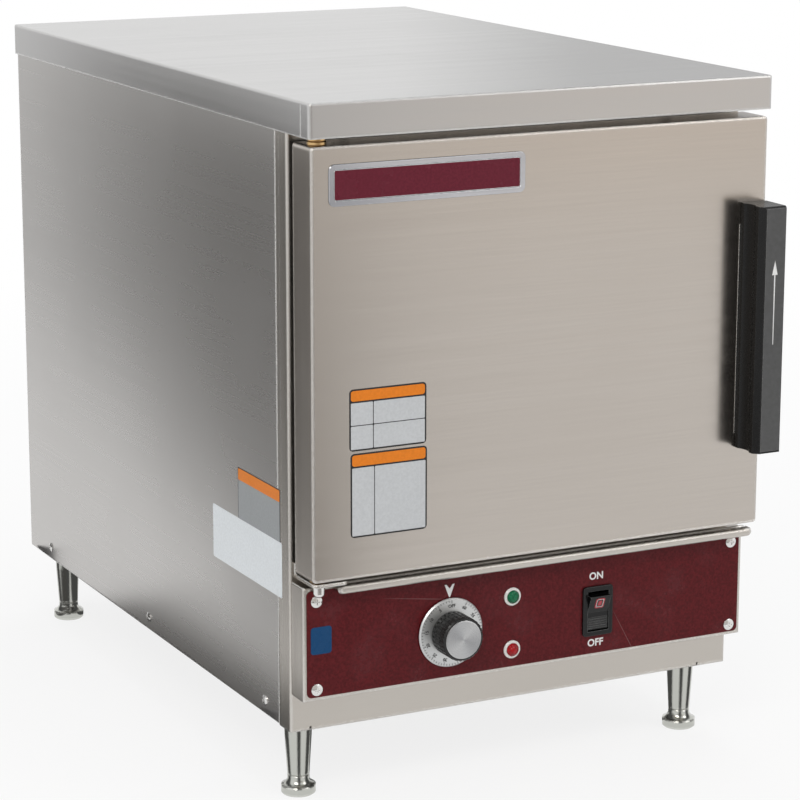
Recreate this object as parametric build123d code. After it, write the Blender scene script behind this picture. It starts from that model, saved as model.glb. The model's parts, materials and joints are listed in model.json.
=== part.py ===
# Electric countertop steamer: a folded stainless case on four adjustable legs, a steam
# chamber with lift-out pan racks, and a side-hung door with a lift-up latch handle.
# Millimetres, +Z up, the door faces -Y. The origin is on the floor under the middle.
import math
import os

from build123d import *

# Overall
case_width = 420.0
case_depth = 626.0
case_height = 522.0
leg_height = 67.0
rear_reach = 32.0

# Case sheet metal
panel_sheet = 1.2
frame_sheet = 1.5
flange = 15.0
bend = 2.0
frame_return = 22.0
joggle = 14.0
seam = 0.3
base_wall = 20.0
side_screw_front = 51.0
side_screw_rear = 59.0
side_screw_rise = 10.0
back_screw_low = 30.0
back_screw_high = 52.0
back_screw_count = 5

# Lid
lid_sheet = 1.5
lid_skirt = 28.0
lid_step = 4.5
lid_gap = 0.5
lid_corner = 2.5
lid_screw_side = 60.0
lid_screw_in = 20.0
lid_seam_in = 15.0
lid_seam_width = 0.6
lid_seam_depth = 0.5

# Screws: head radius, head height, shank length
screw_shank = 2.0
panel_screw_head = 5.0
panel_screw_rise = 2.2
case_screw_head = 4.5
case_screw_rise = 2.0
screw_length = 8.0

# Steam chamber, inside sizes, and the room left round it
chamber_side_room = 39.0
chamber_step = 37.0
chamber_head_room = 56.0
chamber_rear_room = 54.0
chamber_corner = 3.0
chamber_sheet = 1.5
chamber_rim = 12.0
sump_side = 21.0
sump_drop = 25.0
sump_front = 50.0
sump_rear = 6.0
insulation = 28.0
insulation_setback = 22.0
insulation_lift = 8.0
insulation_skirt = 60.0
insulation_edge = 10.0

# Heating element in the sump
element_radius = 4.2
element_pitch = 60.0
element_lift = 9.0
element_front = 40.0
element_rear = 46.0
element_tail = 30.0
element_bend = 29.0
element_gland = 8.0
element_gland_thick = 5.0
element_pin = 2.0
element_pin_length = 9.0

# Pan racks
rack_wire = 3.0
rack_wall_gap = 0.5
rack_front = 38.0
rack_rear = 39.0
rack_bottom = 15.0
rack_head_gap = 28.0
rack_bend = 12.0
rung_first = 80.0
rung_pitch = 72.0
rung_inset = 14.5
rung_bend = 10.0
stud_radius = 2.5
stud_inset = 110.0
seat_gap = 0.3

# Floor plate over the sump
plate_sheet = 1.2
plate_side_gap = 13.0
plate_front = 21.0
plate_rear = 43.0
plate_corner = 8.0
plate_slot_length = 26.0
plate_slot_width = 5.0
plate_slot_columns = 6
plate_slot_rows = 11

# Level probe and its splash shield on the chamber's rear wall
probe_width = 40.0
probe_depth = 22.0
probe_height = 22.0
probe_rise = 22.0
probe_corner = 4.0
probe_rod = 1.5
probe_rod_length = 33.0
probe_rod_step = 7.0
probe_pitch = 12.0
probe_fitting = 8.0
probe_tail = 16.0
probe_nut = 12.0
probe_nut_thick = 5.0
shield_sheet = 1.2
shield_width = 68.0
shield_depth = 31.0
shield_height = 60.0
shield_rise = 8.0
shield_lean = 12.0
shield_slope = 16.0
shield_tab = 14.0
shield_hang = 10.0
shield_stud_neck = 4.0
shield_stud_head = 4.5
shield_stud_head_thick = 1.5

# Door
door_left_inset = 1.7
door_right_step = 1.2
door_thick = 34.0
door_gap = 7.5
door_top_gap = 6.5
door_bottom_gap = 8.5
door_sheet = 1.2
door_corner = 3.0
door_fill_gap = 1.0
plateau_inset = 11.0
plateau_height = 4.5
plateau_edge = 2.7
gasket_width = 12.0
gasket_offset = 4.0
gasket_clear = 0.3
gasket_corner = 18.0
gasket_round = 3.6

# Door hinge on a vertical axis near the door's left edge
hinge_inset = 10.3
hinge_setback = 11.5
pin_radius = 4.0
pin_clear = 0.05
pin_head_lip = 0.8
pin_head_height = 11.0
pin_spare = 2.0
bush_wall = 1.45
bush_lip = 2.2
bush_depth = 12.0
washer_thick = 3.0
washer_edge = 0.6
hinge_nut = 7.5
hinge_nut_thick = 6.0
strap_width = 31.0
strap_inset = 1.5
strap_thick = 2.8
strap_reach = 40.0
strap_foot = 9.0
strap_corner = 5.0

# Lift-up handle and latch
handle_width = 24.5
handle_depth = 30.5
handle_height = 210.0
handle_drop = 71.0
handle_step = 0.5
handle_gap = 0.5
handle_chamfer = 4.5
handle_pad = 18.0
handle_round = 2.5
groove_radius = 16.0
groove_depth = 2.6
slot_neck = 6.5
slot_head = 14.0
slot_neck_depth = 4.0
slot_head_depth = 5.5
slot_clear = 0.3
guide_pitch = 150.0
guide_shank = 2.5
guide_shank_length = 6.5
guide_room = 2.5
latch_lift = 20.0
latch_bar_thick = 4.0
latch_drop = 92.0
latch_height = 12.0
latch_nose = 8.0
latch_nose_width = 6.5
latch_reach = 15.0
latch_socket = 7.0
latch_root = 6.0
latch_bevel = 3.0
latch_side_clear = 1.4
latch_end_clear = 2.0
latch_free = 0.4
strike_radius = 3.0
strike_setback = 4.8
strike_width = 14.5
strike_ear = 1.5
strike_ear_depth = 9.0
strike_ear_low = 12.0
strike_ear_high = 5.0
strike_plate_thick = 2.0
strike_plate_low = 24.0

# Control housing and its overlay
housing_inset = 1.0
housing_depth = 23.4
housing_rise = 33.0
housing_height = 96.0
housing_sheet = 1.5
housing_edge = 1.35
overlay_thick = 0.6
overlay_inset = 3.0
overlay_corner = 4.0
control_hole_side = 39.0
control_hole_edge = 5.0
panel_screw_side = 11.5
panel_screw_low = 9.5
panel_screw_high = 12.0
panel_screw_reach = 6.0

# Timer
dial_inset = 133.0
dial_rise = 41.5
dial_radius = 29.5
dial_thick = 2.4
dial_edge = 0.6
dial_slope = 1.2
dial_gap = 1.2
knob_radius = 18.6
knob_height = 20.5
knob_round = 1.2
knob_flutes = 28
knob_rings = 2
knob_ring_width = 1.0
knob_ring_depth = 0.9
flute_radius = 1.1
flute_out = 0.35
flute_foot = 1.5
cap_inset = 2.4
cap_thick = 1.6
cap_sunk = 1.0
cap_edge = 0.6
shaft_radius = 3.0
shaft_clear = 3.0
shaft_grip = 14.0
shaft_seat = 16.0
timer_width = 54.0
timer_height = 46.0
timer_depth = 38.0
timer_corner = 4.0
timer_bell = 15.0
timer_bell_depth = 6.0
timer_tab_x = 14.0
timer_tab_z = 12.0

# Spade tabs on the timer, the switch and the lamps
tab_width = 6.0
tab_thick = 0.8
tab_length = 8.0

# Rocker switch
switch_inset = 144.5
switch_rise = 40.8
switch_width = 28.8
switch_height = 43.6
switch_rim = 2.6
switch_lip = 4.2
switch_proud = 2.5
switch_corner = 3.0
switch_edge = 0.8
switch_depth = 27.0
switch_well = 15.0
switch_pivot_in = 4.0
switch_tab_pitch = 12.0
pivot_radius = 1.6
pivot_length = 1.5
paddle_side_gap = 0.4
paddle_end_gap = 1.6
paddle_face = 1.6
paddle_taper = 1.2
paddle_back = 4.0
paddle_round = 1.0
paddle_turn = 22.0
ridge_count = 5
ridge_first = 5.5
ridge_pitch = 2.0
ridge_width = 0.7
ridge_depth = 0.35

# Lamps
lamp_inset = 191.5
green_lamp_rise = 64.0
red_lamp_rise = 18.0
lamp_lens = 5.6
lamp_wall = 0.6
lamp_lip = 1.6
lamp_rim = 1.6
lamp_depth = 26.0
lens_depth = 8.0
lens_side = 2.2
lens_proud = 5.3
lamp_tab_spread = 2.5

# Drip trough under the door
trough_left_inset = 27.0
trough_right_step = 1.5
trough_height = 8.5
trough_depth = 12.0
trough_gap = 0.9
trough_front_gap = 0.6
trough_sheet = 1.0
trough_corner = 4.2
trough_foot = 3.0
trough_inner_foot = 2.0
hook_left = 8.0
hook_right = 14.0
hook_short = 4.0

# Legs and feet
leg_side = 23.0
leg_front_inset = 36.0
leg_rear_inset = 41.0
leg_top_radius = 11.7
leg_low_radius = 9.3
leg_collar = 8.0
leg_collar_step = 0.3
foot_height = 17.0
foot_radius = 14.6
foot_rim = 6.5
foot_edge = 1.2
foot_neck = 13.0
foot_thread = 5.0
foot_thread_length = 30.0
foot_thread_spare = 3.0
foot_clear = 0.1
stud_thread = 5.0
stud_rise = 10.0
weld_nut = 8.5
weld_nut_height = 8.0

# Rear services
drain_x = 60.0
drain_rise = 43.0
drain_setback = 24.0
drain_radius = 12.7
drain_wall = 1.5
drain_bend = 30.0
drain_collar = 3.0
drain_collar_lip = 6.0
drain_flange_lip = 8.0
inlet_side = 60.0
inlet_rise = 48.0
inlet_radius = 13.2
inlet_bore = 9.0
inlet_bore_depth = 26.0
inlet_length = 20.0
inlet_body = 34.0
inlet_flange_lip = 5.0
inlet_flange_thick = 6.0
inlet_threads = 7
inlet_thread_pitch = 2.2
inlet_thread_width = 0.9
inlet_thread_depth = 0.8
inlet_thread_start = 4.5
coil_radius = 14.0
coil_height = 34.0
coil_setback = 20.0
coil_rise = 8.0
outlet_radius = 6.0
outlet_length = 24.0
valve_foot_width = 24.0
valve_foot_front = 32.0
valve_foot_rear = 8.0
gland_side = 60.0
gland_rise = 48.0
gland_bore = 8.0
gland_wall = 3.0
gland_inner = 12.0
gland_hex = 15.0
gland_hex_thick = 6.0
gland_nut = 16.0
gland_nut_thick = 5.0
gland_cone = 13.0
gland_cone_length = 12.0
gland_taper = 8.0
louver_count = 6
louver_length = 62.0
louver_pitch = 24.0
louver_radius = 6.0
louver_sheet = 1.0
louver_x = 90.0
louver_drop = 112.0

# Contactor on the base pan
contactor_x = -95.0
contactor_setback = 235.0
contactor_width = 60.0
contactor_depth = 80.0
contactor_height = 42.0
contactor_top_width = 48.0
contactor_top_depth = 52.0
contactor_top_height = 22.0
contactor_corner = 2.0
pole_pitch = 18.0
pole_width = 12.0
pole_depth = 10.0
pole_drop = 12.0
pole_screw = 4.0
pole_screw_height = 5.0

# Terminal block on the base pan
terminal_x = 110.0
terminal_setback = 95.0
terminal_pitch = 16.5
terminal_count = 4
terminal_depth = 24.0
terminal_low = 12.0
terminal_high = 24.0
terminal_wall = 2.0
terminal_screw = 3.4
terminal_screw_height = 4.0
terminal_row = 12.0

# Level control board on four posts
board_x = 90.0
board_setback = 230.0
board_width = 100.0
board_length = 120.0
board_thick = 1.6
board_lift = 10.0
board_post = 3.0
board_post_inset = 6.0
relay_width = 18.0
relay_length = 24.0
relay_places = ((-28.0, -30.0, 17.0), (-6.0, -30.0, 17.0), (20.0, 30.0, 24.0), (-28.0, 25.0, 12.0))

# How far a cut runs past the face that it opens, and a join into its neighbour
cut_over = 1.0
join = 1.0

# Places worked out from the sizes above
half = case_width / 2
overall_height = leg_height + case_height
handle_reach = door_gap + door_thick + handle_gap + handle_depth
overall_depth = handle_reach + case_depth + rear_reach
front = handle_reach - overall_depth / 2
back = front + case_depth
case_top = overall_height - lid_sheet
lid_low = overall_height - lid_skirt
inside = half - panel_sheet
frame_back = front + frame_sheet
base_low = leg_height + frame_sheet
base_top = base_low + panel_sheet

housing_side = half - housing_inset
housing_front = front - housing_depth
housing_bottom = leg_height + housing_rise
housing_top = housing_bottom + housing_height
overlay_front = housing_front - overlay_thick
panel_screw_x = housing_side - panel_screw_side
dial_x = dial_inset - housing_side
dial_z = housing_bottom + dial_rise
dial_back = overlay_front - dial_gap
knob_back = dial_back - dial_thick
cap_radius = knob_radius - cap_inset
switch_x = housing_side - switch_inset
switch_z = housing_bottom + switch_rise
switch_pivot_y = overlay_front + switch_pivot_in
lamp_x = lamp_inset - housing_side
lamp_barrel = lamp_lens + lamp_wall
lamp_bezel = lamp_barrel + lamp_lip
green_lamp_z = housing_bottom + green_lamp_rise
red_lamp_z = housing_bottom + red_lamp_rise

chamber_floor = housing_top + chamber_step
chamber_top = overall_height - chamber_head_room
chamber_height = chamber_top - chamber_floor
chamber_half = half - chamber_side_room
chamber_back = back - chamber_rear_room
sump_half = chamber_half - sump_side
sump_width = 2 * sump_half
sump_floor = chamber_floor - sump_drop
sump_back = chamber_back - sump_rear
element_z = sump_floor + element_lift
drain_y = sump_back - drain_setback
drain_z = leg_height + drain_rise
probe_low = chamber_floor + probe_rise
probe_z = probe_low + probe_height / 2
shield_low = chamber_floor + shield_rise
shield_high = shield_low + shield_height
shield_stud_x = shield_width / 2 + shield_tab / 2
shield_stud_z = shield_high - shield_hang

rack_x = chamber_half - rack_wall_gap - rack_wire
rack_height = chamber_height - rack_bottom - rack_head_gap
rung_count = 1 + int((rack_height + rack_bottom - rung_first) / rung_pitch)
rack_low = chamber_floor + rack_bottom
rack_high = rack_low + rack_height

door_left = -half + door_left_inset
door_right = half + door_right_step
door_width = door_right - door_left
door_back = front - door_gap
door_front = door_back - door_thick
door_top = lid_low - door_top_gap
door_bottom = housing_top + door_bottom_gap
door_height = door_top - door_bottom
lid_overhang = door_gap + door_thick + lid_step
hinge_x = door_left + hinge_inset
hinge_y = door_front + hinge_setback
bush_radius = pin_radius + pin_clear + bush_wall
bush_flange = bush_radius + bush_lip
strap_top = door_bottom - washer_thick / 2 - seat_gap
strap_low = strap_top - strap_thick

handle_top = door_top - handle_drop
handle_bottom = handle_top - handle_height
handle_right = door_right + handle_step
handle_left = handle_right - handle_width
handle_back = door_front - handle_gap
handle_front = handle_back - handle_depth
slot_x = handle_right - handle_width / 2
slot_top = handle_top - handle_pad
slot_floor = handle_back - slot_neck_depth - slot_head_depth
latch_low = handle_top - latch_drop
latch_high = latch_low + latch_height
latch_tip = front + latch_reach

trough_left = -half + trough_left_inset
trough_right = half + trough_right_step
trough_back = overlay_front - trough_front_gap
trough_front = trough_back - trough_depth
trough_top = strap_low - trough_gap
trough_low = trough_top - trough_height

inlet_x = -half + inlet_side
inlet_z = leg_height + inlet_rise
gland_x = half - gland_side
gland_z = leg_height + gland_rise
louver_top = case_top - louver_drop
leg_x = half - leg_side
leg_places = {
    "front_left": (-leg_x, front + leg_front_inset),
    "front_right": (leg_x, front + leg_front_inset),
    "rear_left": (-leg_x, back - leg_rear_inset),
    "rear_right": (leg_x, back - leg_rear_inset),
}


# General shapes

def block(x, y, z):
    low = (x[0], y[0], z[0])
    size = (x[1] - x[0], y[1] - y[0], z[1] - z[0])
    centre = [a + s / 2 for a, s in zip(low, size)]
    return Pos(*centre) * Box(*size)


def centred(x, y, z):
    # A block from (middle, full size) pairs.
    return block(*[(middle - size / 2, middle + size / 2) for middle, size in (x, y, z)])


def rod(start, direction, radius, length):
    return extrude(Plane(origin=start, z_dir=direction) * Circle(radius), length)


def drill(start, direction, radius, depth):
    # A round cut that runs past both ends of its depth.
    begin = tuple(s - d * cut_over for s, d in zip(start, direction))
    return rod(begin, direction, radius, depth + 2 * cut_over)


def turned(*outline):
    # A solid of revolution about +Z from lines and arcs drawn as (radius, height).
    edges = [edge for line in outline for edge in (Plane.XZ * line).edges()]
    return revolve(make_face(edges), Axis.Z)


def loop(*points):
    return Polyline(*points, close=True)


def cap(radius, low, high):
    # An arc centred on the axis, from (radius, low) up or down to (0, high).
    rise = high - low
    size = (radius ** 2 + rise ** 2) / (2 * rise)
    turn = math.asin(radius / abs(size)) / 2
    middle = (abs(size) * math.sin(turn), high - size + size * math.cos(turn))
    return ThreePointArc((radius, low), middle, (0, high))


def facing_front(solid, x, y, z):
    # Turns a part drawn along +Z so that it points out of the front, at (x, y, z).
    return Pos(x, y, z) * Rot(90, 0, 0) * solid


def facing_back(solid, x, y, z):
    return Pos(x, y, z) * Rot(-90, 0, 0) * solid


def rounded_block(x, y, z, radius):
    # Rounded along Y: a rectangle in X and Z with round corners, pushed back.
    middle = ((x[0] + x[1]) / 2, y[0], (z[0] + z[1]) / 2)
    face = Plane(origin=middle, x_dir=(1, 0, 0), z_dir=(0, 1, 0))
    return extrude(face * RectangleRounded(x[1] - x[0], z[1] - z[0], radius), y[1] - y[0])


def side_profile(x0, x1, *points):
    # A solid with an outline of (y, z) points, from x0 to x1.
    outline = make_face(Plane.YZ * loop(*points))
    return Pos(x0, 0, 0) * extrude(outline, x1 - x0, dir=(1, 0, 0))


def wire(points, bend_radius, wire_radius):
    path = FilletPolyline(*points, radius=bend_radius)
    start = Plane(origin=path @ 0, z_dir=path % 0)
    return sweep(start * Circle(wire_radius), path)


def truss_screw(head_radius, head_rise, length):
    # A domed head above z = 0 with a cross recess, and its shank below.
    edge = head_rise * 0.3
    sides = Polyline(
        (0, head_rise), (0, -length), (screw_shank, -length), (screw_shank, 0),
        (head_radius, 0), (head_radius, edge),
    )
    arm = Pos(0, 0, head_rise) * Box(head_radius, head_radius * 0.22, head_rise * 0.9)
    return turned(cap(head_radius, edge, head_rise), sides) - arm - Rot(0, 0, 90) * arm


def spade_tab(x, y, z):
    # A flat connector tab that points to the back, rooted at (x, y, z).
    return block(
        (x - tab_width / 2, x + tab_width / 2),
        (y - join, y + tab_length),
        (z - tab_thick / 2, z + tab_thick / 2),
    )


# Case

def make_lid():
    side = half + lid_gap + lid_sheet
    nose = front - lid_overhang
    tail = back + lid_gap + lid_sheet
    shell = block((-side, side), (nose, tail), (lid_low, overall_height))
    shell = fillet(shell.edges().filter_by(Axis.Z), lid_corner)
    shell = fillet(shell.faces().sort_by(Axis.Z)[-1].edges(), lid_sheet)
    shell -= block(
        (-side + lid_sheet, side - lid_sheet),
        (nose + lid_sheet, tail - lid_sheet),
        (lid_low - cut_over, case_top),
    )
    # The overhang is closed underneath, and carries the upper hinge pin and two screws.
    shell += block(
        (-side + lid_sheet / 2, side - lid_sheet / 2),
        (nose + lid_sheet / 2, front - lid_gap),
        (lid_low, lid_low + lid_sheet),
    )
    shell -= drill((hinge_x, hinge_y, lid_low), (0, 0, 1), pin_radius, lid_sheet)
    for x, y in lid_screw_places():
        shell -= drill((x, y, lid_low), (0, 0, 1), screw_shank, lid_sheet)
    # The seam on each side where the front skirt laps over the side skirt.
    for seam_side in (-side, side):
        shell -= centred(
            (seam_side, 2 * lid_seam_depth),
            (nose + lid_seam_in, lid_seam_width),
            (lid_low, 2 * (lid_skirt - 2 * lid_sheet)),
        )
    return shell


def lid_screw_places():
    x = half - lid_screw_side
    return [(-x, front - lid_screw_in), (x, front - lid_screw_in)]


def side_screw_places():
    first = front + side_screw_front
    last = back - side_screw_rear
    z = base_top + side_screw_rise
    return [(first, z), ((first + last) / 2, z), (last, z)]


def make_left_side_panel():
    fold = half - flange
    start = front + frame_return + seam
    end = back - panel_sheet
    panel = block((-half, -fold), (start, end), (leg_height, case_top))
    panel = fillet(panel.edges().filter_by(Axis.Y).group_by(Axis.X)[0], bend)
    panel -= block(
        (-inside, -fold + cut_over),
        (start - cut_over, end - panel_sheet),
        (leg_height + panel_sheet, case_top - panel_sheet),
    )
    for y, z in side_screw_places():
        panel -= drill((-half, y, z), (1, 0, 0), screw_shank, panel_sheet)
    for x, z in back_screw_places():
        panel -= drill((x, end - panel_sheet, z), (0, 1, 0), screw_shank, panel_sheet)
    for x, y in leg_places.values():
        panel -= drill((x, y, leg_height), (0, 0, 1), leg_top_radius, panel_sheet)
    return panel


def make_front_frame():
    frame = block((-half, half), (front, front + frame_return), (leg_height, case_top))
    frame = fillet(frame.edges().filter_by(Axis.Z).group_by(Axis.Y)[0], bend)
    frame -= block(
        (-half + frame_sheet, half - frame_sheet),
        (frame_back, front + frame_return + cut_over),
        (leg_height + frame_sheet, case_top - frame_sheet),
    )
    # The joggle that each side panel's front edge lies over.
    for side in (-1, 1):
        strip = block(
            sorted((side * (inside - frame_sheet), side * (half - frame_sheet))),
            (front + frame_return - joggle / 2, front + frame_return + joggle),
            (base_top + base_wall + cut_over, case_top - 2 * flange),
        )
        step = block(
            sorted((side * inside, side * half)),
            (front + frame_return, front + frame_return + joggle + cut_over),
            (leg_height, case_top),
        )
        frame += strip - step
    through = (front - cut_over, frame_back + cut_over)
    frame -= rounded_block(
        (-chamber_half, chamber_half), through, (chamber_floor, chamber_top), chamber_corner
    )
    hole_half = housing_side - control_hole_side
    frame -= block(
        (-hole_half, hole_half),
        through,
        (housing_bottom + control_hole_edge, housing_top - control_hole_edge),
    )
    frame -= latch_window(*through, latch_side_clear)
    for x, z in panel_screw_places():
        frame -= drill((x, front, z), (0, 1, 0), screw_shank, frame_sheet)
    return frame


def make_base_pan():
    edge = inside - seam
    start = frame_back + seam
    end = back - 2 * panel_sheet - seam
    pan = block((-edge, edge), (start, end), (base_low, base_top + base_wall))
    pan = fillet(pan.edges().filter_by(Axis.Z), bend)
    pan -= block(
        (-edge + panel_sheet, edge - panel_sheet),
        (start + panel_sheet, end - panel_sheet),
        (base_top, base_top + base_wall + cut_over),
    )
    for x, y in leg_places.values():
        pan += rod((x, y, base_top), (0, 0, 1), weld_nut, weld_nut_height)
        pan -= drill((x, y, base_low), (0, 0, 1), stud_thread, panel_sheet + weld_nut_height)
    for y, z in side_screw_places():
        pan -= rod((-half, y, z), (1, 0, 0), screw_shank, case_width)
    return pan


def back_screw_places():
    x = half - flange / 2 - panel_sheet
    room = case_height - back_screw_low - back_screw_high
    pitch = room / (back_screw_count - 1)
    zs = [leg_height + back_screw_low + step * pitch for step in range(back_screw_count)]
    return [(side * x, z) for side in (-1, 1) for z in zs]


def louver_places():
    return [
        (side * louver_x, louver_top - step * louver_pitch)
        for side in (-1, 1)
        for step in range(louver_count)
    ]


def make_back_panel():
    skin = back - panel_sheet
    panel = block((-inside, inside), (skin, back), (leg_height + panel_sheet, case_top))
    # One louvre: a quarter-round hood over a slot, open at its foot.
    reach = louver_length / 2
    hood = rod((-reach, back, 0), (1, 0, 0), louver_radius, louver_length)
    hood -= rod((louver_sheet - reach, back, 0), (1, 0, 0), louver_radius - louver_sheet,
                louver_length - 2 * louver_sheet)
    hood &= block((-reach, reach), (skin, back + louver_radius), (0, louver_radius))
    vent = block(
        (2 * louver_sheet - reach, reach - 2 * louver_sheet),
        (skin - cut_over, back + louver_sheet),
        (0, louver_radius - louver_sheet),
    )
    for x, z in louver_places():
        panel -= Pos(x, 0, z) * vent
        panel += Pos(x, 0, z) * hood
    for x, z in back_screw_places():
        panel -= drill((x, skin, z), (0, 1, 0), screw_shank, panel_sheet)
    panel -= drill((drain_x, skin, drain_z), (0, 1, 0), drain_radius, panel_sheet)
    panel -= drill((inlet_x, skin, inlet_z), (0, 1, 0), inlet_radius, panel_sheet)
    panel -= drill((gland_x, skin, gland_z), (0, 1, 0), gland_bore + gland_wall, panel_sheet)
    return panel


# Steam chamber

def make_chamber_liner():
    wall = chamber_sheet
    liner = rounded_block(
        (-chamber_half - wall, chamber_half + wall),
        (frame_back, chamber_back + wall),
        (chamber_floor - wall, chamber_top + wall),
        chamber_corner + wall,
    )
    rim = chamber_half + chamber_rim
    liner += rounded_block(
        (-rim, rim),
        (frame_back, frame_back + wall),
        (chamber_floor - chamber_rim, chamber_top + chamber_rim),
        chamber_corner + chamber_rim,
    )
    sump = block(
        (-sump_half - wall, sump_half + wall),
        (front + sump_front - wall, sump_back + wall),
        (sump_floor - wall, chamber_floor - wall / 2),
    )
    liner += fillet(sump.edges().filter_by(Axis.Z), chamber_corner + wall)
    liner -= rounded_block(
        (-chamber_half, chamber_half),
        (frame_back - cut_over, chamber_back),
        (chamber_floor, chamber_top),
        chamber_corner,
    )
    basin = block(
        (-sump_half, sump_half),
        (front + sump_front, sump_back),
        (sump_floor, chamber_floor + cut_over),
    )
    liner -= fillet(basin.edges().filter_by(Axis.Z), chamber_corner)
    # Drain hole, element glands and the probe's fitting.
    liner -= drill((drain_x, drain_y, sump_floor - wall), (0, 0, 1), drain_radius - drain_wall, wall)
    for x in element_ends():
        liner -= drill((x, sump_back, element_z), (0, 1, 0), element_radius, wall)
    liner -= drill((0, chamber_back, probe_z), (0, 1, 0), probe_fitting, wall)
    for x, y, z in rack_stud_places():
        side = math.copysign(1, x)
        root = chamber_half + wall / 2
        liner += rod((side * root, y, z), (-side, 0, 0), stud_radius, root - abs(x))
    for x in (-shield_stud_x, shield_stud_x):
        liner += rod((x, chamber_back + wall / 2, shield_stud_z), (0, -1, 0), stud_radius,
                     wall / 2 + shield_stud_neck)
        liner += rod((x, chamber_back - shield_stud_neck, shield_stud_z), (0, -1, 0),
                     shield_stud_head, shield_stud_head_thick)
    return liner


def make_chamber_insulation():
    wall = chamber_sheet
    inner = chamber_half + wall
    start = front + insulation_setback
    long_cut = (start - cut_over, chamber_back + cut_over)
    wrap = rounded_block(
        (-inner - insulation, inner + insulation),
        (start, chamber_back),
        (chamber_floor + insulation_lift, chamber_top + wall + insulation),
        chamber_corner + insulation,
    )
    wrap -= rounded_block(
        (-inner, inner), long_cut, (chamber_floor - wall, chamber_top + wall), chamber_corner + wall
    )
    wrap -= block((-inner, inner), long_cut, (leg_height, chamber_floor + insulation_skirt))
    rear = block(
        (-chamber_half + insulation_edge, chamber_half - insulation_edge),
        (chamber_back + wall, chamber_back + wall + insulation),
        (probe_z + probe_nut + insulation_edge, chamber_top - insulation_edge),
    )
    return [wrap, rear]


def element_rows():
    return [(step - 1.5) * element_pitch for step in range(4)]


def element_ends():
    rows = element_rows()
    return [rows[0], rows[-1]]


def make_heating_element():
    z = element_z
    x = element_rows()
    near = front + sump_front + element_front
    far = sump_back - element_rear
    tail = sump_back + element_tail
    points = [
        (x[0], tail, z), (x[0], near, z), (x[1], near, z), (x[1], far, z),
        (x[2], far, z), (x[2], near, z), (x[3], near, z), (x[3], tail, z),
    ]
    element = wire(points, element_bend, element_radius)
    for end in element_ends():
        element += rod((end, sump_back + chamber_sheet, z), (0, 1, 0), element_gland,
                       element_gland_thick)
        element += rod((end, tail - join, z), (0, 1, 0), element_pin, element_pin_length)
    return element


def make_level_probe():
    probe = block(
        (-probe_width / 2, probe_width / 2),
        (chamber_back - probe_depth, chamber_back),
        (probe_low, probe_low + probe_height),
    )
    probe = fillet(probe.edges().filter_by(Axis.Z).group_by(Axis.Y)[0], probe_corner)
    probe += rod((0, chamber_back - join, probe_z), (0, 1, 0), probe_fitting, join + probe_tail)
    probe += rod((0, chamber_back + chamber_sheet, probe_z), (0, 1, 0), probe_nut, probe_nut_thick)
    for step in (-1, 0, 1):
        probe += rod(
            (step * probe_pitch, chamber_back - 2 * probe_depth / 3, probe_low + join),
            (0, 0, -1), probe_rod, join + probe_rod_length - step * probe_rod_step,
        )
    return probe


def make_probe_shield():
    sheet = shield_sheet
    rear = chamber_back - seat_gap - sheet
    nose = chamber_back - shield_depth
    side = shield_width / 2
    # Side view: an upright front that leans back to the wall at the top.
    shield = side_profile(
        -side, side,
        (nose, shield_low), (rear + sheet, shield_low), (rear + sheet, shield_high),
        (nose + shield_lean, shield_high), (nose, shield_high - shield_slope),
    )
    shield -= side_profile(
        sheet - side, side - sheet,
        (nose + sheet, shield_low - cut_over), (chamber_back + cut_over, shield_low - cut_over),
        (chamber_back + cut_over, shield_high - sheet),
        (nose + shield_lean + sheet / 2, shield_high - sheet),
        (nose + sheet, shield_high - shield_slope - sheet / 2),
    )
    reach = stud_radius + seat_gap
    for sign in (-1, 1):
        x = sign * shield_stud_x
        tab = block(
            sorted((sign * (side - sheet), sign * (side + shield_tab))),
            (rear, rear + sheet),
            (shield_stud_z - shield_tab, shield_high),
        )
        tab -= drill((x, rear, shield_stud_z), (0, 1, 0), reach, sheet)
        tab -= block(
            (x - reach, x + reach), (rear - cut_over, rear + sheet + cut_over),
            (shield_low, shield_stud_z),
        )
        shield += tab
    return shield


def rack_stud_places():
    z = rack_high - rack_wire - seat_gap - stud_radius
    x = rack_x - rack_wire
    y0, y1 = rack_ends()
    ys = (y0 + stud_inset, y1 - stud_inset)
    return [(side * x, y, z) for side in (-1, 1) for y in ys]


def rack_ends():
    return front + rack_front, chamber_back - rack_rear


def make_right_pan_rack():
    x = rack_x
    inner = x - rung_inset
    y0, y1 = rack_ends()
    hoop = FilletPolyline(
        (x, y0, rack_low), (x, y1, rack_low), (x, y1, rack_high), (x, y0, rack_high),
        radius=rack_bend, close=True,
    )
    start = Plane(origin=hoop @ 0, z_dir=hoop % 0)
    rack = sweep(start * Circle(rack_wire), hoop)
    for step in range(rung_count):
        z = chamber_floor + rung_first + step * rung_pitch
        rung = [(x, y0, z), (inner, y0, z), (inner, y1, z), (x, y1, z)]
        rack += wire(rung, rung_bend, rack_wire)
    return rack


def make_left_pan_rack():
    # The rack is the same from both ends, so the left one is the right one turned round.
    return Pos(0, sum(rack_ends()), 0) * Rot(0, 0, 180) * make_right_pan_rack()


def make_floor_plate():
    low = chamber_floor + seat_gap
    side = chamber_half - plate_side_gap
    y0 = front + plate_front
    y1 = chamber_back - plate_rear
    plate = block((-side, side), (y0, y1), (low, low + plate_sheet))
    plate = fillet(plate.edges().filter_by(Axis.Z), plate_corner)
    step_x = 2 * side / plate_slot_columns
    step_y = (y1 - y0) / (plate_slot_rows + 1)
    slot = extrude(SlotOverall(plate_slot_length, plate_slot_width), plate_sheet + cut_over, both=True)
    slots = [
        Pos((i + 0.5) * step_x - side, y0 + (j + 1) * step_y, low) * slot
        for i in range(plate_slot_columns)
        for j in range(plate_slot_rows)
    ]
    return plate - slots


# Control housing and controls

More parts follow.
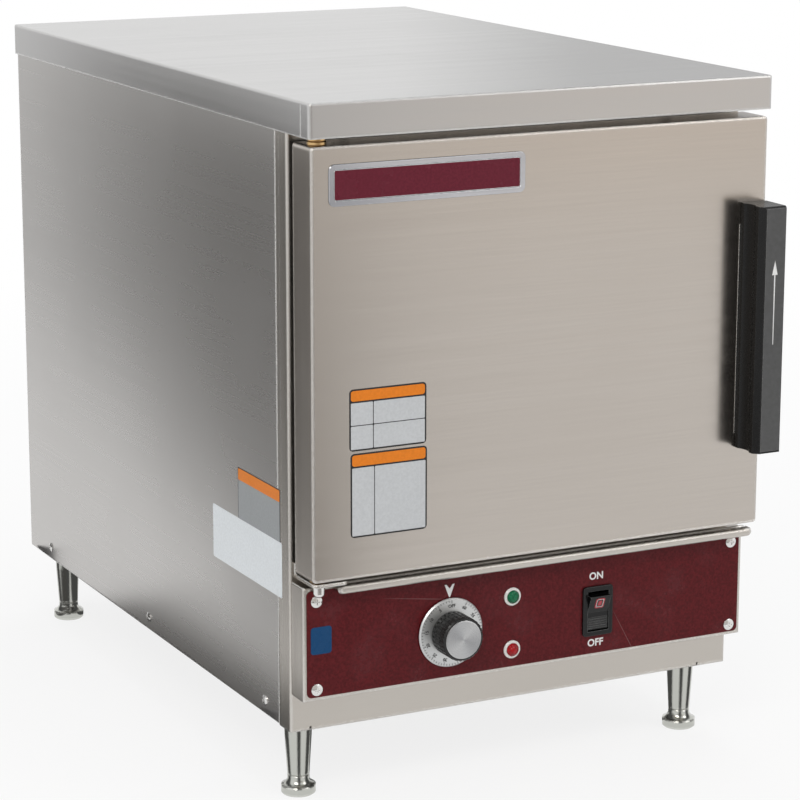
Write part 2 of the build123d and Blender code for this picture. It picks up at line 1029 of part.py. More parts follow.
def panel_screw_places():
    zs = (housing_bottom + panel_screw_low, housing_top - panel_screw_high)
    return [(side * panel_screw_x, z) for side in (-1, 1) for z in zs]


def control_holes(y0, y1):
    # The cut-outs that the housing and its overlay share.
    depth = y1 - y0
    punch = drill((dial_x, y0, dial_z), (0, 1, 0), shaft_radius + shaft_clear, depth)
    for z in (green_lamp_z, red_lamp_z):
        punch += drill((lamp_x, y0, z), (0, 1, 0), lamp_barrel, depth)
    punch += centred(
        (switch_x, switch_width - 2 * switch_rim),
        ((y0 + y1) / 2, depth + 2 * cut_over),
        (switch_z, switch_height - 2 * switch_rim),
    )
    for x, z in panel_screw_places():
        punch += drill((x, y0, z), (0, 1, 0), screw_shank, depth)
    return punch


def make_control_housing():
    side = housing_side
    housing = block((-side, side), (housing_front, front), (housing_bottom, housing_top))
    housing = fillet(housing.faces().sort_by(Axis.Y)[0].edges(), housing_edge)
    housing -= block(
        (-side + housing_sheet, side - housing_sheet),
        (housing_front + housing_sheet, front + cut_over),
        (housing_bottom + housing_sheet, housing_top - housing_sheet),
    )
    return housing - control_holes(housing_front, housing_front + housing_sheet)


def make_control_overlay():
    side = housing_side - overlay_inset
    overlay = rounded_block(
        (-side, side),
        (overlay_front, housing_front),
        (housing_bottom + overlay_inset, housing_top - overlay_inset),
        overlay_corner,
    )
    return overlay - control_holes(overlay_front, housing_front)


def make_panel_screws():
    length = front + panel_screw_reach - overlay_front
    screw = truss_screw(panel_screw_head, panel_screw_rise, length)
    return [facing_front(screw, x, overlay_front, z) for x, z in panel_screw_places()]


def make_side_screws():
    screw = truss_screw(case_screw_head, case_screw_rise, screw_length)
    return [
        Pos(side * half, y, z) * Rot(0, side * 90, 0) * screw
        for side in (-1, 1)
        for y, z in side_screw_places()
    ]


def make_back_screws():
    screw = truss_screw(case_screw_head, case_screw_rise, screw_length)
    return [facing_back(screw, x, back, z) for x, z in back_screw_places()]


def make_lid_screws():
    screw = truss_screw(panel_screw_head, panel_screw_rise, screw_length)
    return [Pos(x, y, lid_low) * Rot(180, 0, 0) * screw for x, y in lid_screw_places()]


def make_timer_body():
    y = housing_front + housing_sheet
    rear = y + timer_depth
    body = centred((dial_x, timer_width), (y + timer_depth / 2, timer_depth), (dial_z, timer_height))
    body = fillet(body.edges().filter_by(Axis.Y), timer_corner)
    body += rod((dial_x, rear - join, dial_z), (0, 1, 0), timer_bell, join + timer_bell_depth)
    for dx in (-timer_tab_x, timer_tab_x):
        for dz in (-timer_tab_z, timer_tab_z):
            body += spade_tab(dial_x + dx, rear, dial_z + dz)
    seat = rod((dial_x, y - cut_over, dial_z), (0, 1, 0), shaft_radius + pin_clear,
               shaft_seat + 2 * cut_over)
    return body - seat


def make_timer_shaft():
    start = housing_front + housing_sheet + shaft_seat
    return rod((dial_x, start, dial_z), (0, -1, 0), shaft_radius, start - dial_back + shaft_grip)


def make_timer_dial():
    dial = turned(loop(
        (shaft_radius, 0), (dial_radius, 0), (dial_radius, dial_edge),
        (dial_radius - dial_slope, dial_thick - dial_edge),
        (knob_radius + dial_edge, dial_thick), (shaft_radius, dial_thick),
    ))
    return facing_front(dial, dial_x, dial_back, dial_z)


def make_knob_grip():
    grip = turned(loop(
        (0, 0), (knob_radius, 0), (knob_radius, knob_height - knob_round),
        (knob_radius - knob_round, knob_height), (0, knob_height),
    ))
    flute = rod((knob_radius + flute_out, 0, flute_foot), (0, 0, 1), flute_radius, knob_height)
    grip -= [Rot(0, 0, step * 360 / knob_flutes) * flute for step in range(knob_flutes)]
    # Turned grooves break the ribs between the flutes into short pads.
    inner = knob_radius - knob_ring_depth
    outer = knob_radius + cut_over
    for step in range(knob_rings):
        low = knob_height * (step + 1) / (knob_rings + 1) - knob_ring_width / 2
        high = low + knob_ring_width
        grip -= turned(loop((inner, low), (outer, low), (outer, high), (inner, high)))
    grip -= rod((0, 0, -cut_over), (0, 0, 1), shaft_radius, cut_over + shaft_grip - dial_thick)
    grip -= rod((0, 0, knob_height - cap_sunk), (0, 0, 1), cap_radius, cap_sunk + cut_over)
    return facing_front(grip, dial_x, knob_back, dial_z)


def make_knob_cap():
    low = knob_height - cap_sunk
    high = low + cap_thick
    cap = turned(loop(
        (0, low), (cap_radius, low), (cap_radius, high - cap_edge / 2),
        (cap_radius - cap_edge, high), (0, high),
    ))
    return facing_front(cap, dial_x, knob_back, dial_z)


def make_rocker_switch_body():
    x0, x1 = switch_x - switch_width / 2, switch_x + switch_width / 2
    z0, z1 = switch_z - switch_height / 2, switch_z + switch_height / 2
    proud = (overlay_front - switch_proud, overlay_front)
    body = rounded_block((x0, x1), proud, (z0, z1), switch_corner)
    body = fillet(body.faces().sort_by(Axis.Y)[0].edges(), switch_edge)
    rear = housing_front + switch_depth
    body += block(
        (x0 + switch_rim, x1 - switch_rim),
        (overlay_front - join, rear),
        (z0 + switch_rim, z1 - switch_rim),
    )
    for step in (-1, 0, 1):
        body += spade_tab(switch_x, rear, switch_z + step * switch_tab_pitch)
    lip = switch_lip
    body -= block(
        (x0 + lip, x1 - lip),
        (overlay_front - switch_proud - cut_over, overlay_front + switch_well),
        (z0 + lip, z1 - lip),
    )
    for x in (x0 + lip, x1 - lip):
        body -= rod((x - pivot_length, switch_pivot_y, switch_z), (1, 0, 0),
                    pivot_radius + pin_clear, 2 * pivot_length)
    return body


def make_rocker_paddle():
    w = switch_width / 2 - switch_lip - paddle_side_gap
    h = switch_height / 2 - switch_lip - paddle_end_gap
    tilt = paddle_turn / 2
    rise = h * math.tan(math.radians(tilt))
    face = -switch_pivot_in - paddle_face
    # Drawn level about its pivot: a shallow V, so that either half can lie flush.
    paddle = side_profile(
        -w, w,
        (face, 0), (face - rise, h), (0, h - paddle_taper), (paddle_back, h / 2),
        (paddle_back, -h / 2), (0, paddle_taper - h), (face - rise, -h),
    )
    corners = paddle.edges().filter_by(Axis.X).group_by(Axis.Y)[0]
    paddle = fillet(corners, paddle_round)
    for step in range(ridge_count):
        z = -ridge_first - step * ridge_pitch
        paddle -= centred((0, 3 * w), (face + rise * z / h, 2 * ridge_depth), (z, ridge_width))
    for side in (-1, 1):
        paddle += rod((side * (w - join), 0, 0), (side, 0, 0), pivot_radius,
                      join + paddle_side_gap + pivot_length / 2)
    return Pos(switch_x, switch_pivot_y, switch_z) * Rot(tilt, 0, 0) * paddle


def make_lamp_body(z):
    body = turned(loop(
        (0, -lamp_depth), (lamp_barrel, -lamp_depth), (lamp_barrel, 0), (lamp_bezel, 0),
        (lamp_bezel, lamp_rim / 2), (lamp_bezel - lamp_rim / 2, lamp_rim), (lamp_lens, lamp_rim),
        (lamp_lens, -lens_depth), (0, -lens_depth),
    ))
    lamp = facing_front(body, lamp_x, overlay_front, z)
    for side in (-1, 1):
        lamp += centred(
            (lamp_x + side * lamp_tab_spread, lamp_tab_spread),
            (overlay_front + lamp_depth + tab_length / 2 - join, tab_length),
            (z, tab_thick),
        )
    return lamp


def make_lamp_lens(z):
    dome = cap(lamp_lens, lens_side, lens_proud)
    sides = Polyline((0, lens_proud), (0, -lens_depth), (lamp_lens, -lens_depth), (lamp_lens, lens_side))
    return facing_front(turned(dome, sides), lamp_x, overlay_front, z)


def make_drip_trough():
    # A gutter with a hook over the housing's top edge behind it.
    body = block((trough_left, trough_right), (trough_front, trough_back), (trough_low, trough_top))
    body = fillet(body.edges().filter_by(Axis.Y), trough_corner)
    body = fillet(body.edges().filter_by(Axis.X).group_by(Axis.Z)[0], trough_foot)
    t = trough_sheet
    bore = block(
        (trough_left + t, trough_right - t),
        (trough_front + t, trough_back - t),
        (trough_low + t, trough_top + cut_over),
    )
    body -= fillet(bore.faces().sort_by(Axis.Z)[0].edges(), trough_inner_foot)
    hook = block(
        (trough_left + hook_left, trough_right - hook_right),
        (trough_back - t, front - hook_short),
        (housing_top + seat_gap, housing_top + seat_gap + t),
    )
    return body + hook


# Electrical compartment and rear services

def make_contactor():
    x, y, z = contactor_x, front + contactor_setback, base_top
    top = z + contactor_height
    crown = contactor_top_height
    body = centred((x, contactor_width), (y, contactor_depth), ((z + top) / 2, contactor_height))
    body += centred(
        (x, contactor_top_width), (y, contactor_top_depth), (top + crown / 2 - join, crown)
    )
    body = fillet(body.edges().filter_by(Axis.Z), contactor_corner)
    # Three poles at each end, each a pocket with its terminal screw.
    for side in (-1, 1):
        mouth = y + side * contactor_depth / 2
        inner = mouth - side * pole_depth
        for step in (-1, 0, 1):
            pole_x = x + step * pole_pitch
            body -= block(
                (pole_x - pole_width / 2, pole_x + pole_width / 2),
                sorted((inner, mouth + side * cut_over)),
                (top - pole_drop, top + cut_over),
            )
            body += rod((pole_x, (inner + mouth) / 2, top - pole_drop - join), (0, 0, 1),
                        pole_screw, join + pole_screw_height)
    return body


def make_terminal_block():
    x, y, z = terminal_x, back - terminal_setback, base_top
    length = terminal_count * terminal_pitch + terminal_wall
    left = x - length / 2
    body = block(
        (left, left + length), (y - terminal_depth / 2, y + terminal_depth / 2), (z, z + terminal_low)
    )
    for step in range(terminal_count + 1):
        wall_x = left + step * terminal_pitch
        body += block(
            (wall_x, wall_x + terminal_wall),
            (y - terminal_depth / 2, y + terminal_depth / 2),
            (z + terminal_low - join, z + terminal_high),
        )
    for step in range(terminal_count):
        screw_x = left + terminal_wall / 2 + (step + 0.5) * terminal_pitch
        for side in (-1, 1):
            body += rod((screw_x, y + side * terminal_row / 2, z + terminal_low - join), (0, 0, 1),
                        terminal_screw, join + terminal_screw_height)
    return body


def make_level_control_board():
    x, y, z = board_x, front + board_setback, base_top
    low = z + board_lift
    board = centred((x, board_width), (y, board_length), (low + board_thick / 2, board_thick))
    post_x = board_width / 2 - board_post_inset
    post_y = board_length / 2 - board_post_inset
    for dx in (-post_x, post_x):
        for dy in (-post_y, post_y):
            board += rod((x + dx, y + dy, z), (0, 0, 1), board_post, board_lift + join)
    for dx, dy, height in relay_places:
        board += centred(
            (x + dx, relay_width), (y + dy, relay_length), (low + join + height / 2, height)
        )
    return board


def make_water_inlet_valve():
    x, z = inlet_x, inlet_z
    wall = back - panel_sheet
    stem_y = wall - coil_setback
    valve = rod((x, wall - inlet_body, z), (0, 1, 0), inlet_radius,
                inlet_body + panel_sheet + inlet_length)
    valve += rod((x, wall - inlet_flange_thick, z), (0, 1, 0), inlet_radius + inlet_flange_lip,
                 inlet_flange_thick)
    # Rings stand in for the thread.
    for step in range(inlet_threads):
        ring_y = back + inlet_thread_start + step * inlet_thread_pitch
        groove = rod((x, ring_y, z), (0, 1, 0), inlet_radius + cut_over, inlet_thread_width)
        groove -= drill((x, ring_y, z), (0, 1, 0), inlet_radius - inlet_thread_depth,
                        inlet_thread_width)
        valve -= groove
    # The solenoid coil stands on the body, and the outlet points along the back.
    valve += rod((x, stem_y, z + coil_rise), (0, 0, 1), coil_radius, coil_height)
    valve += rod((x + coil_rise, stem_y, z), (1, 0, 0), outlet_radius, outlet_length)
    valve += block(
        (x - valve_foot_width / 2, x + valve_foot_width / 2),
        (wall - valve_foot_front, wall - valve_foot_rear),
        (base_top, z - coil_rise),
    )
    mouth = back + inlet_length
    return valve - rod((x, mouth + cut_over, z), (0, -1, 0), inlet_bore, inlet_bore_depth + cut_over)


def make_drain_pipe():
    top = sump_floor - chamber_sheet
    points = [(drain_x, drain_y, top), (drain_x, drain_y, drain_z), (drain_x, back + rear_reach, drain_z)]
    pipe = wire(points, drain_bend, drain_radius)
    pipe += rod(points[0], (0, 0, -1), drain_radius + drain_flange_lip, drain_collar)
    pipe += rod((drain_x, back, drain_z), (0, 1, 0), drain_radius + drain_collar_lip, drain_collar)
    return pipe - wire(points, drain_bend, drain_radius - drain_wall)


def make_cable_gland():
    x, z = gland_x, gland_z
    inner = back - panel_sheet
    outer = back + gland_hex_thick + gland_cone_length
    start = inner - gland_inner
    gland = rod((x, start, z), (0, 1, 0), gland_bore + gland_wall, outer - start)
    hexagon = Plane(origin=(x, back, z), z_dir=(0, 1, 0)) * RegularPolygon(gland_hex, 6)
    gland += extrude(hexagon, gland_hex_thick)
    cone = Plane(origin=(x, back + gland_hex_thick, z), z_dir=(0, 1, 0)) * Circle(gland_cone)
    gland += extrude(cone, gland_cone_length, taper=gland_taper)
    locknut = Plane(origin=(x, inner, z), z_dir=(0, -1, 0)) * RegularPolygon(gland_nut, 6)
    gland += extrude(locknut, gland_nut_thick)
    return gland - drill((x, start, z), (0, 1, 0), gland_bore, outer - start)


# Legs and feet

def make_leg(x, y):
    bore = foot_thread + foot_clear
    bore_top = foot_height + foot_thread_length
    stud_top = base_top + stud_rise
    collar = leg_top_radius - leg_collar_step
    leg = turned(loop(
        (bore, foot_height), (leg_low_radius, foot_height),
        (collar, leg_height - 2 * leg_collar), (leg_top_radius, leg_height - leg_collar),
        (leg_top_radius, base_low), (stud_thread, base_low), (stud_thread, stud_top),
        (0, stud_top), (0, bore_top), (bore, bore_top),
    ))
    return Pos(x, y, 0) * leg


def make_foot(x, y):
    neck_top = foot_height - seat_gap
    thread_top = foot_height + foot_thread_length - foot_thread_spare
    rim_in = foot_radius - foot_edge
    # The rim sweeps up into the neck in one hollow curve.
    flare = ThreePointArc(
        (foot_radius, foot_rim + foot_edge),
        (leg_low_radius + 0.3 * (foot_radius - leg_low_radius), foot_rim + 0.55 * (foot_neck - foot_rim)),
        (leg_low_radius, foot_neck),
    )
    sides = Polyline(
        (leg_low_radius, foot_neck), (leg_low_radius, neck_top), (foot_thread, neck_top),
        (foot_thread, thread_top), (0, thread_top), (0, 0), (rim_in, 0),
        (foot_radius, foot_edge), (foot_radius, foot_rim + foot_edge),
    )
    return Pos(x, y, 0) * turned(flare, sides)


# Door, hinge and latch

def latch_window(y0, y1, side_clear):
    # The slot that the latch bar passes through, with room for its lift.
    reach = latch_bar_thick / 2 + side_clear
    return block(
        (slot_x - reach, slot_x + reach + latch_side_clear),
        (y0, y1),
        (latch_low - latch_nose - latch_end_clear, latch_high + latch_lift + latch_end_clear),
    )


def make_door_outer():
    s = door_sheet
    door = block((door_left, door_right), (door_front, door_back), (door_bottom, door_top))
    door = fillet(door.edges().filter_by(Axis.Y), door_corner)
    door = fillet(door.faces().sort_by(Axis.Y)[0].edges(), s)
    door -= rounded_block(
        (door_left + s, door_right - s),
        (door_front + s, door_back + cut_over),
        (door_bottom + s, door_top - s),
        door_corner - s,
    )
    door -= drill((hinge_x, hinge_y, door_bottom), (0, 0, 1), bush_radius, door_height)
    door -= latch_window(door_front - cut_over, door_front + s + cut_over, latch_side_clear)
    for z in guide_places():
        door -= drill((slot_x, door_front, z), (0, 1, 0), guide_shank, s)
    return door


def make_door_inner():
    s = door_sheet
    panel = rounded_block(
        (door_left + s, door_right - s),
        (door_back - s, door_back),
        (door_bottom + s, door_top - s),
        door_corner - s,
    )
    # A raised plateau stiffens the middle and carries the splash back into the chamber.
    side = chamber_half - plateau_inset
    field = rounded_block(
        (-side, side),
        (door_back - s, door_back + plateau_height),
        (chamber_floor + plateau_inset, chamber_top - plateau_inset),
        gasket_corner - gasket_width / 2,
    )
    panel += fillet(field.faces().sort_by(Axis.Y)[-1].edges(), plateau_edge)
    return panel - latch_window(door_back - s - cut_over, door_back + cut_over, latch_side_clear)


def gasket_ring(y0, y1, grow, radius):
    return rounded_block(
        (-chamber_half - grow, chamber_half + grow), (y0, y1),
        (chamber_floor - grow, chamber_top + grow), radius,
    )


def make_door_gasket():
    y1 = front - gasket_clear
    outer = gasket_offset + gasket_width
    ring = gasket_ring(door_back, y1, outer, gasket_corner + gasket_width / 2)
    ring -= gasket_ring(
        door_back - cut_over, y1 + cut_over, gasket_offset, gasket_corner - gasket_width / 2
    )
    return fillet(ring.faces().sort_by(Axis.Y)[-1].edges(), gasket_round)


def make_door_insulation():
    s = door_sheet + door_fill_gap
    fill = block(
        (door_left + s, door_right - s),
        (door_front + s, door_back - s),
        (door_bottom + s, door_top - s),
    )
    fill -= latch_window(door_front, door_back, 2 * latch_side_clear)
    for z in (door_bottom, door_top - bush_depth - pin_spare):
        fill -= drill((hinge_x, hinge_y, z), (0, 0, 1), bush_radius + door_fill_gap,
                      bush_depth + pin_spare)
    for z in guide_places():
        fill -= rod((slot_x, door_front, z), (0, 1, 0), guide_shank + guide_room,
                    guide_shank_length + guide_room)
    return fill


def make_upper_hinge_pin():
    low = door_top - bush_depth - pin_spare
    high = lid_low + lid_sheet
    pin = rod((hinge_x, hinge_y, low), (0, 0, 1), pin_radius, high + join - low)
    return pin + Pos(hinge_x, hinge_y, high) * extrude(RegularPolygon(hinge_nut, 6), hinge_nut_thick)


def make_upper_hinge_washer():
    edge = washer_edge
    ring = turned(loop(
        (pin_radius, 0), (bush_flange - edge, 0), (bush_flange, edge),
        (bush_flange, washer_thick - edge), (bush_flange - edge, washer_thick),
        (pin_radius, washer_thick),
    ))
    return Pos(hinge_x, hinge_y, lid_low - washer_thick) * ring


def hinge_bush(flange_thick):
    # Drawn flange up; it seats on z = 0.
    bore = pin_radius + pin_clear
    edge = min(washer_edge, flange_thick / 3)
    return turned(loop(
        (bore, -bush_depth), (bush_radius, -bush_depth), (bush_radius, 0),
        (bush_flange - edge, 0), (bush_flange, edge), (bush_flange, flange_thick - edge),
        (bush_flange - edge, flange_thick), (bore, flange_thick),
    ))


def make_upper_hinge_bush():
    thick = door_top_gap - washer_thick - seat_gap
    return Pos(hinge_x, hinge_y, door_top) * hinge_bush(thick)


def make_lower_hinge_bush():
    return Pos(hinge_x, hinge_y, door_bottom) * Rot(180, 0, 0) * hinge_bush(washer_thick / 2)


def make_lower_hinge_bracket():
    x0 = door_left + strap_inset
    x1 = x0 + strap_width
    strap = block((x0, x1), (front - strap_reach, front), (strap_low, strap_top))
    strap = fillet(strap.edges().filter_by(Axis.Z).group_by(Axis.Y)[0], strap_corner)
    strap += block((x0, x1), (front - strap_thick, front), (strap_low, strap_top + strap_foot))
    return strap - drill((hinge_x, hinge_y, strap_low), (0, 0, 1), pin_radius, strap_thick)


def make_lower_hinge_pin():
    # The head hangs below the strap and ends in a dome.
    radius = pin_radius + pin_head_lip
    shoulder = radius * 0.8 - pin_head_height
    dome = cap(radius, shoulder, -pin_head_height)
    sides = Polyline((0, -pin_head_height), (0, 0), (radius, 0), (radius, shoulder))
    pin = rod((hinge_x, hinge_y, strap_low - join), (0, 0, 1), pin_radius,
              join + strap_thick + bush_depth)
    return pin + Pos(hinge_x, hinge_y, strap_low) * turned(dome, sides)


def guide_places():
    top = slot_top - slot_head / 2
    return [top, top - guide_pitch]


def make_handle_guides():
    # Shoulder studs on the door that the handle's T slot rides on.
    neck = slot_neck / 2 - slot_clear
    head = slot_head / 2 - slot_clear
    reach = handle_gap + slot_neck_depth + slot_clear
    studs = []
    for z in guide_places():
        stud = rod((slot_x, door_front, z), (0, -1, 0), neck, reach + join)
        stud += rod((slot_x, door_front - reach, z), (0, -1, 0), head,
                    slot_head_depth - 2 * slot_clear)
        stud += rod((slot_x, door_front - join, z), (0, 1, 0), guide_shank,
                    join + guide_shank_length)
        studs.append(stud)
    return studs


def make_handle_grip():
    c = handle_chamfer
    outline = loop(
        (handle_left, handle_back), (handle_right, handle_back), (handle_right, handle_front),
        (handle_left + c, handle_front), (handle_left, handle_front + c),
    )
    grip = extrude(make_face(outline), handle_height)
    # A long shallow groove on the left side, for the fingertips.
    middle = (handle_back + handle_front + c) / 2
    groove = rod((handle_left - groove_radius + groove_depth, middle, -cut_over), (0, 0, 1),
                 groove_radius, handle_height + 2 * cut_over)
    grip = Pos(0, 0, handle_bottom) * (grip - groove)
    brow = grip.faces().sort_by(Axis.Z)[-1].edges().sort_by(Axis.Y)[0]
    grip = fillet(brow, handle_round)
    # The T slot is open at the foot, and its floor holds the root of the latch bar.
    low = handle_bottom - cut_over
    neck = handle_back - slot_neck_depth
    for width, deep, shallow in (
        (slot_neck, neck - join, handle_back + cut_over),
        (slot_head, slot_floor, neck),
    ):
        grip -= block((slot_x - width / 2, slot_x + width / 2), (deep, shallow), (low, slot_top))
    t = latch_bar_thick / 2
    grip -= block(
        (slot_x - t, slot_x + t),
        (slot_floor - latch_socket, slot_floor + join),
        (latch_low - latch_root, latch_high + latch_root),
    )
    return grip


def make_latch_bar():
    t = latch_bar_thick / 2
    root = slot_floor
    sunk = root - latch_socket
    tip = latch_tip
    inner = tip - latch_nose_width
    nose_low = latch_low - latch_nose
    bevel = latch_bevel
    return side_profile(
        slot_x - t, slot_x + t,
        (sunk, latch_low - latch_root), (root, latch_low - latch_root), (root, latch_low),
        (inner, latch_low), (inner, nose_low), (inner + bevel, nose_low),
        (tip, latch_low), (tip, latch_high - bevel), (tip - bevel, latch_high),
        (root, latch_high), (root, latch_high + latch_root), (sunk, latch_high + latch_root),
    )


def make_latch_strike():
    # A pin between two ears, just under the path of the latch nose.
    y = front + strike_setback
    z = latch_low - latch_nose - latch_free - strike_radius
    x0 = slot_x - strike_width / 2
    x1 = slot_x + strike_width / 2
    thick = strike_plate_thick
    strike = block((x0, x1), (frame_back, frame_back + thick), (z - strike_plate_low, z))
    for x in (x0, x1 - strike_ear):
        ear = block(
            (x, x + strike_ear),
            (frame_back, frame_back + strike_ear_depth),
            (z - strike_ear_low, z + strike_ear_high),
        )
        strike += fillet(ear.edges().filter_by(Axis.X).group_by(Axis.Y)[-1], strike_radius)
    start = x0 + strike_ear / 2
    return strike + rod((start, y, z), (1, 0, 0), strike_radius, strike_width - strike_ear)


def build():
    left_panel = make_left_side_panel()
    parts = {
        "lid": make_lid(),
        "left_side_panel": left_panel,
        "right_side_panel": mirror(left_panel, Plane.YZ),
        "front_frame": make_front_frame(),
        "back_panel": make_back_panel(),
        "base_pan": make_base_pan(),
        "chamber_liner": make_chamber_liner(),
        "chamber_insulation": make_chamber_insulation(),
        "heating_element": make_heating_element(),
        "level_probe": make_level_probe(),
        "drain_pipe": make_drain_pipe(),
        "water_inlet_valve": make_water_inlet_valve(),
        "cable_gland": make_cable_gland(),
        "contactor": make_contactor(),
        "terminal_block": make_terminal_block(),
        "level_control_board": make_level_control_board(),
        "control_housing": make_control_housing(),
        "control_overlay": make_control_overlay(),
        "panel_screws": make_panel_screws(),
        "side_screws": make_side_screws(),
        "back_screws": make_back_screws(),
        "lid_screws": make_lid_screws(),
        "timer_body": make_timer_body(),
        "rocker_switch_body": make_rocker_switch_body(),
        "green_lamp_body": make_lamp_body(green_lamp_z),
        "green_lamp_lens": make_lamp_lens(green_lamp_z),
        "red_lamp_body": make_lamp_body(red_lamp_z),
        "red_lamp_lens": make_lamp_lens(red_lamp_z),
        "upper_hinge_pin": make_upper_hinge_pin(),
        "upper_hinge_washer": make_upper_hinge_washer(),
        "lower_hinge_bracket": make_lower_hinge_bracket(),
        "lower_hinge_pin": make_lower_hinge_pin(),
        "latch_strike": make_latch_strike(),
        "door_outer": make_door_outer(),
        "door_inner": make_door_inner(),
        "door_insulation": make_door_insulation(),
        "door_gasket": make_door_gasket(),
        "upper_hinge_bush": make_upper_hinge_bush(),
        "lower_hinge_bush": make_lower_hinge_bush(),
        "handle_guides": make_handle_guides(),
        "handle_grip": make_handle_grip(),
        "latch_bar": make_latch_bar(),
        "drip_trough": make_drip_trough(),
        "timer_shaft": make_timer_shaft(),
        "timer_dial": make_timer_dial(),
        "knob_grip": make_knob_grip(),
        "knob_cap": make_knob_cap(),
        "rocker_paddle": make_rocker_paddle(),
        "right_pan_rack": make_right_pan_rack(),
        "left_pan_rack": make_left_pan_rack(),
        "probe_shield": make_probe_shield(),
        "floor_plate": make_floor_plate(),
    }
    for place, (x, y) in leg_places.items():
        parts["leg_" + place] = make_leg(x, y)
        parts["foot_" + place] = make_foot(x, y)
    return parts


os.makedirs("parts", exist_ok=True)
for name, solid in build().items():
    if isinstance(solid, list):
        solid = Compound(children=solid)
    export_step(solid, "parts/" + name + ".step")
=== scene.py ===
# Countertop steamer: materials, printed pieces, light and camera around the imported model.
import json
import math

import bmesh
import bpy
from mathutils import Matrix, Vector


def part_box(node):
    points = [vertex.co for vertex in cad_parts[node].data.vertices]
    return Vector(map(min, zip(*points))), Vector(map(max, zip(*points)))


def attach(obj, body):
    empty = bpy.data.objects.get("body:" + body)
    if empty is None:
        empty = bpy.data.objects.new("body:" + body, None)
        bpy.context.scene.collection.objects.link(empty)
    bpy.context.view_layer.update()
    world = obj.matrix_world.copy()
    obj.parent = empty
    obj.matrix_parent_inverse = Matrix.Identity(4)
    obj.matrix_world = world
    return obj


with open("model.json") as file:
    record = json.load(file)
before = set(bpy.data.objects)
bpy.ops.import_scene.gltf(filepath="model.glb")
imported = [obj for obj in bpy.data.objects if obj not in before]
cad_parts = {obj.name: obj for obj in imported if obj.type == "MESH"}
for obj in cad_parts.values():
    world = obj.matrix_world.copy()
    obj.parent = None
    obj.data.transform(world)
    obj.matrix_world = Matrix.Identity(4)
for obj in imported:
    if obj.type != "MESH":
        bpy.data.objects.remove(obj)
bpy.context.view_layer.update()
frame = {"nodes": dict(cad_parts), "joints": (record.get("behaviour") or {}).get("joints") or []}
nodes = frame["nodes"]
joints = {joint["name"]: joint for joint in frame["joints"]}
scene = bpy.context.scene
mm = 0.001
facingFront = ((1, 0, 0), (0, 0, 1))   # across and up on a face that looks along -Y
facingLeft = ((0, -1, 0), (0, 0, 1))
print("frame loaded:", len(nodes), "nodes")


# Small helpers for shader trees

def feed(tree, node, inputs):
    for key, value in inputs.items():
        if isinstance(value, bpy.types.NodeSocket):
            tree.links.new(value, node.inputs[key])
        else:
            node.inputs[key].default_value = value


def add(tree, kind, inputs=None, **settings):
    node = tree.nodes.new("ShaderNode" + kind)
    for name, value in settings.items():
        setattr(node, name, value)
    feed(tree, node, inputs or {})
    return node


def maths(tree, operation, first, second=0.0):
    return add(tree, "Math", {0: first, 1: second}, operation=operation).outputs[0]


def vectors(tree, operation, first, second=(0, 0, 0)):
    node = add(tree, "VectorMath", {0: first, 1: second}, operation=operation)
    return node.outputs["Value" if operation in ("LENGTH", "DOT_PRODUCT") else "Vector"]


def parts(tree, vector):
    return add(tree, "SeparateXYZ", {0: vector}).outputs


def spread(tree, value, low, high, start=0.0, end=1.0):
    inputs = {"Value": value, "From Min": low, "From Max": high, "To Min": start, "To Max": end}
    return add(tree, "MapRange", inputs).outputs["Result"]


def mixed(tree, amount, first, second, blend="MIX"):
    inputs = {0: amount, 6: first, 7: second}
    return add(tree, "Mix", inputs, data_type="RGBA", blend_type=blend).outputs[2]


def noise(tree, where, scale, detail=2.0):
    inputs = {"Vector": where, "Scale": scale, "Detail": detail}
    return add(tree, "TexNoise", inputs).outputs["Fac"]


def here(tree):
    return add(tree, "TexCoord").outputs["Object"]


def shade(colour, factor=1.0):
    return tuple(min(1.0, c * factor) for c in colour) + (1.0,)


def startGroup(name, inputs, outputs):
    tree = bpy.data.node_groups.new(name, "ShaderNodeTree")
    for label, (kind, value) in inputs.items():
        socket = tree.interface.new_socket(name=label, in_out="INPUT", socket_type="NodeSocket" + kind)
        socket.default_value = value
    for label, kind in outputs.items():
        tree.interface.new_socket(name=label, in_out="OUTPUT", socket_type="NodeSocket" + kind)
    given = tree.nodes.new("NodeGroupInput").outputs
    return tree, given, tree.nodes.new("NodeGroupOutput")


def place(tree, group, **inputs):
    named = {key.replace("_", " "): value for key, value in inputs.items()}
    return add(tree, "Group", named, node_tree=group).outputs


# Groups that several materials use

edgeLook = {"samples": 4, "starts": 0.995, "full": 0.84}   # cosines between the rounded and the flat normal
# rims where the rounded and flat normals part: materials lighten them for a little wear and, mostly, a
# painted highlight along folds and corners
edgeWearAndHighlight, given, result = startGroup(
    "edgeWearAndHighlight", {"Radius": ("Float", 0.001)}, {"Mask": "Float", "Normal": "Vector"})
rounded = add(edgeWearAndHighlight, "Bevel", {"Radius": given["Radius"]}, samples=edgeLook["samples"]).outputs["Normal"]
flat = add(edgeWearAndHighlight, "NewGeometry").outputs["Normal"]
turn = vectors(edgeWearAndHighlight, "DOT_PRODUCT", rounded, flat)
wornAndLit = spread(edgeWearAndHighlight, turn, edgeLook["starts"], edgeLook["full"])
feed(edgeWearAndHighlight, result, {"Mask": wornAndLit, "Normal": rounded})

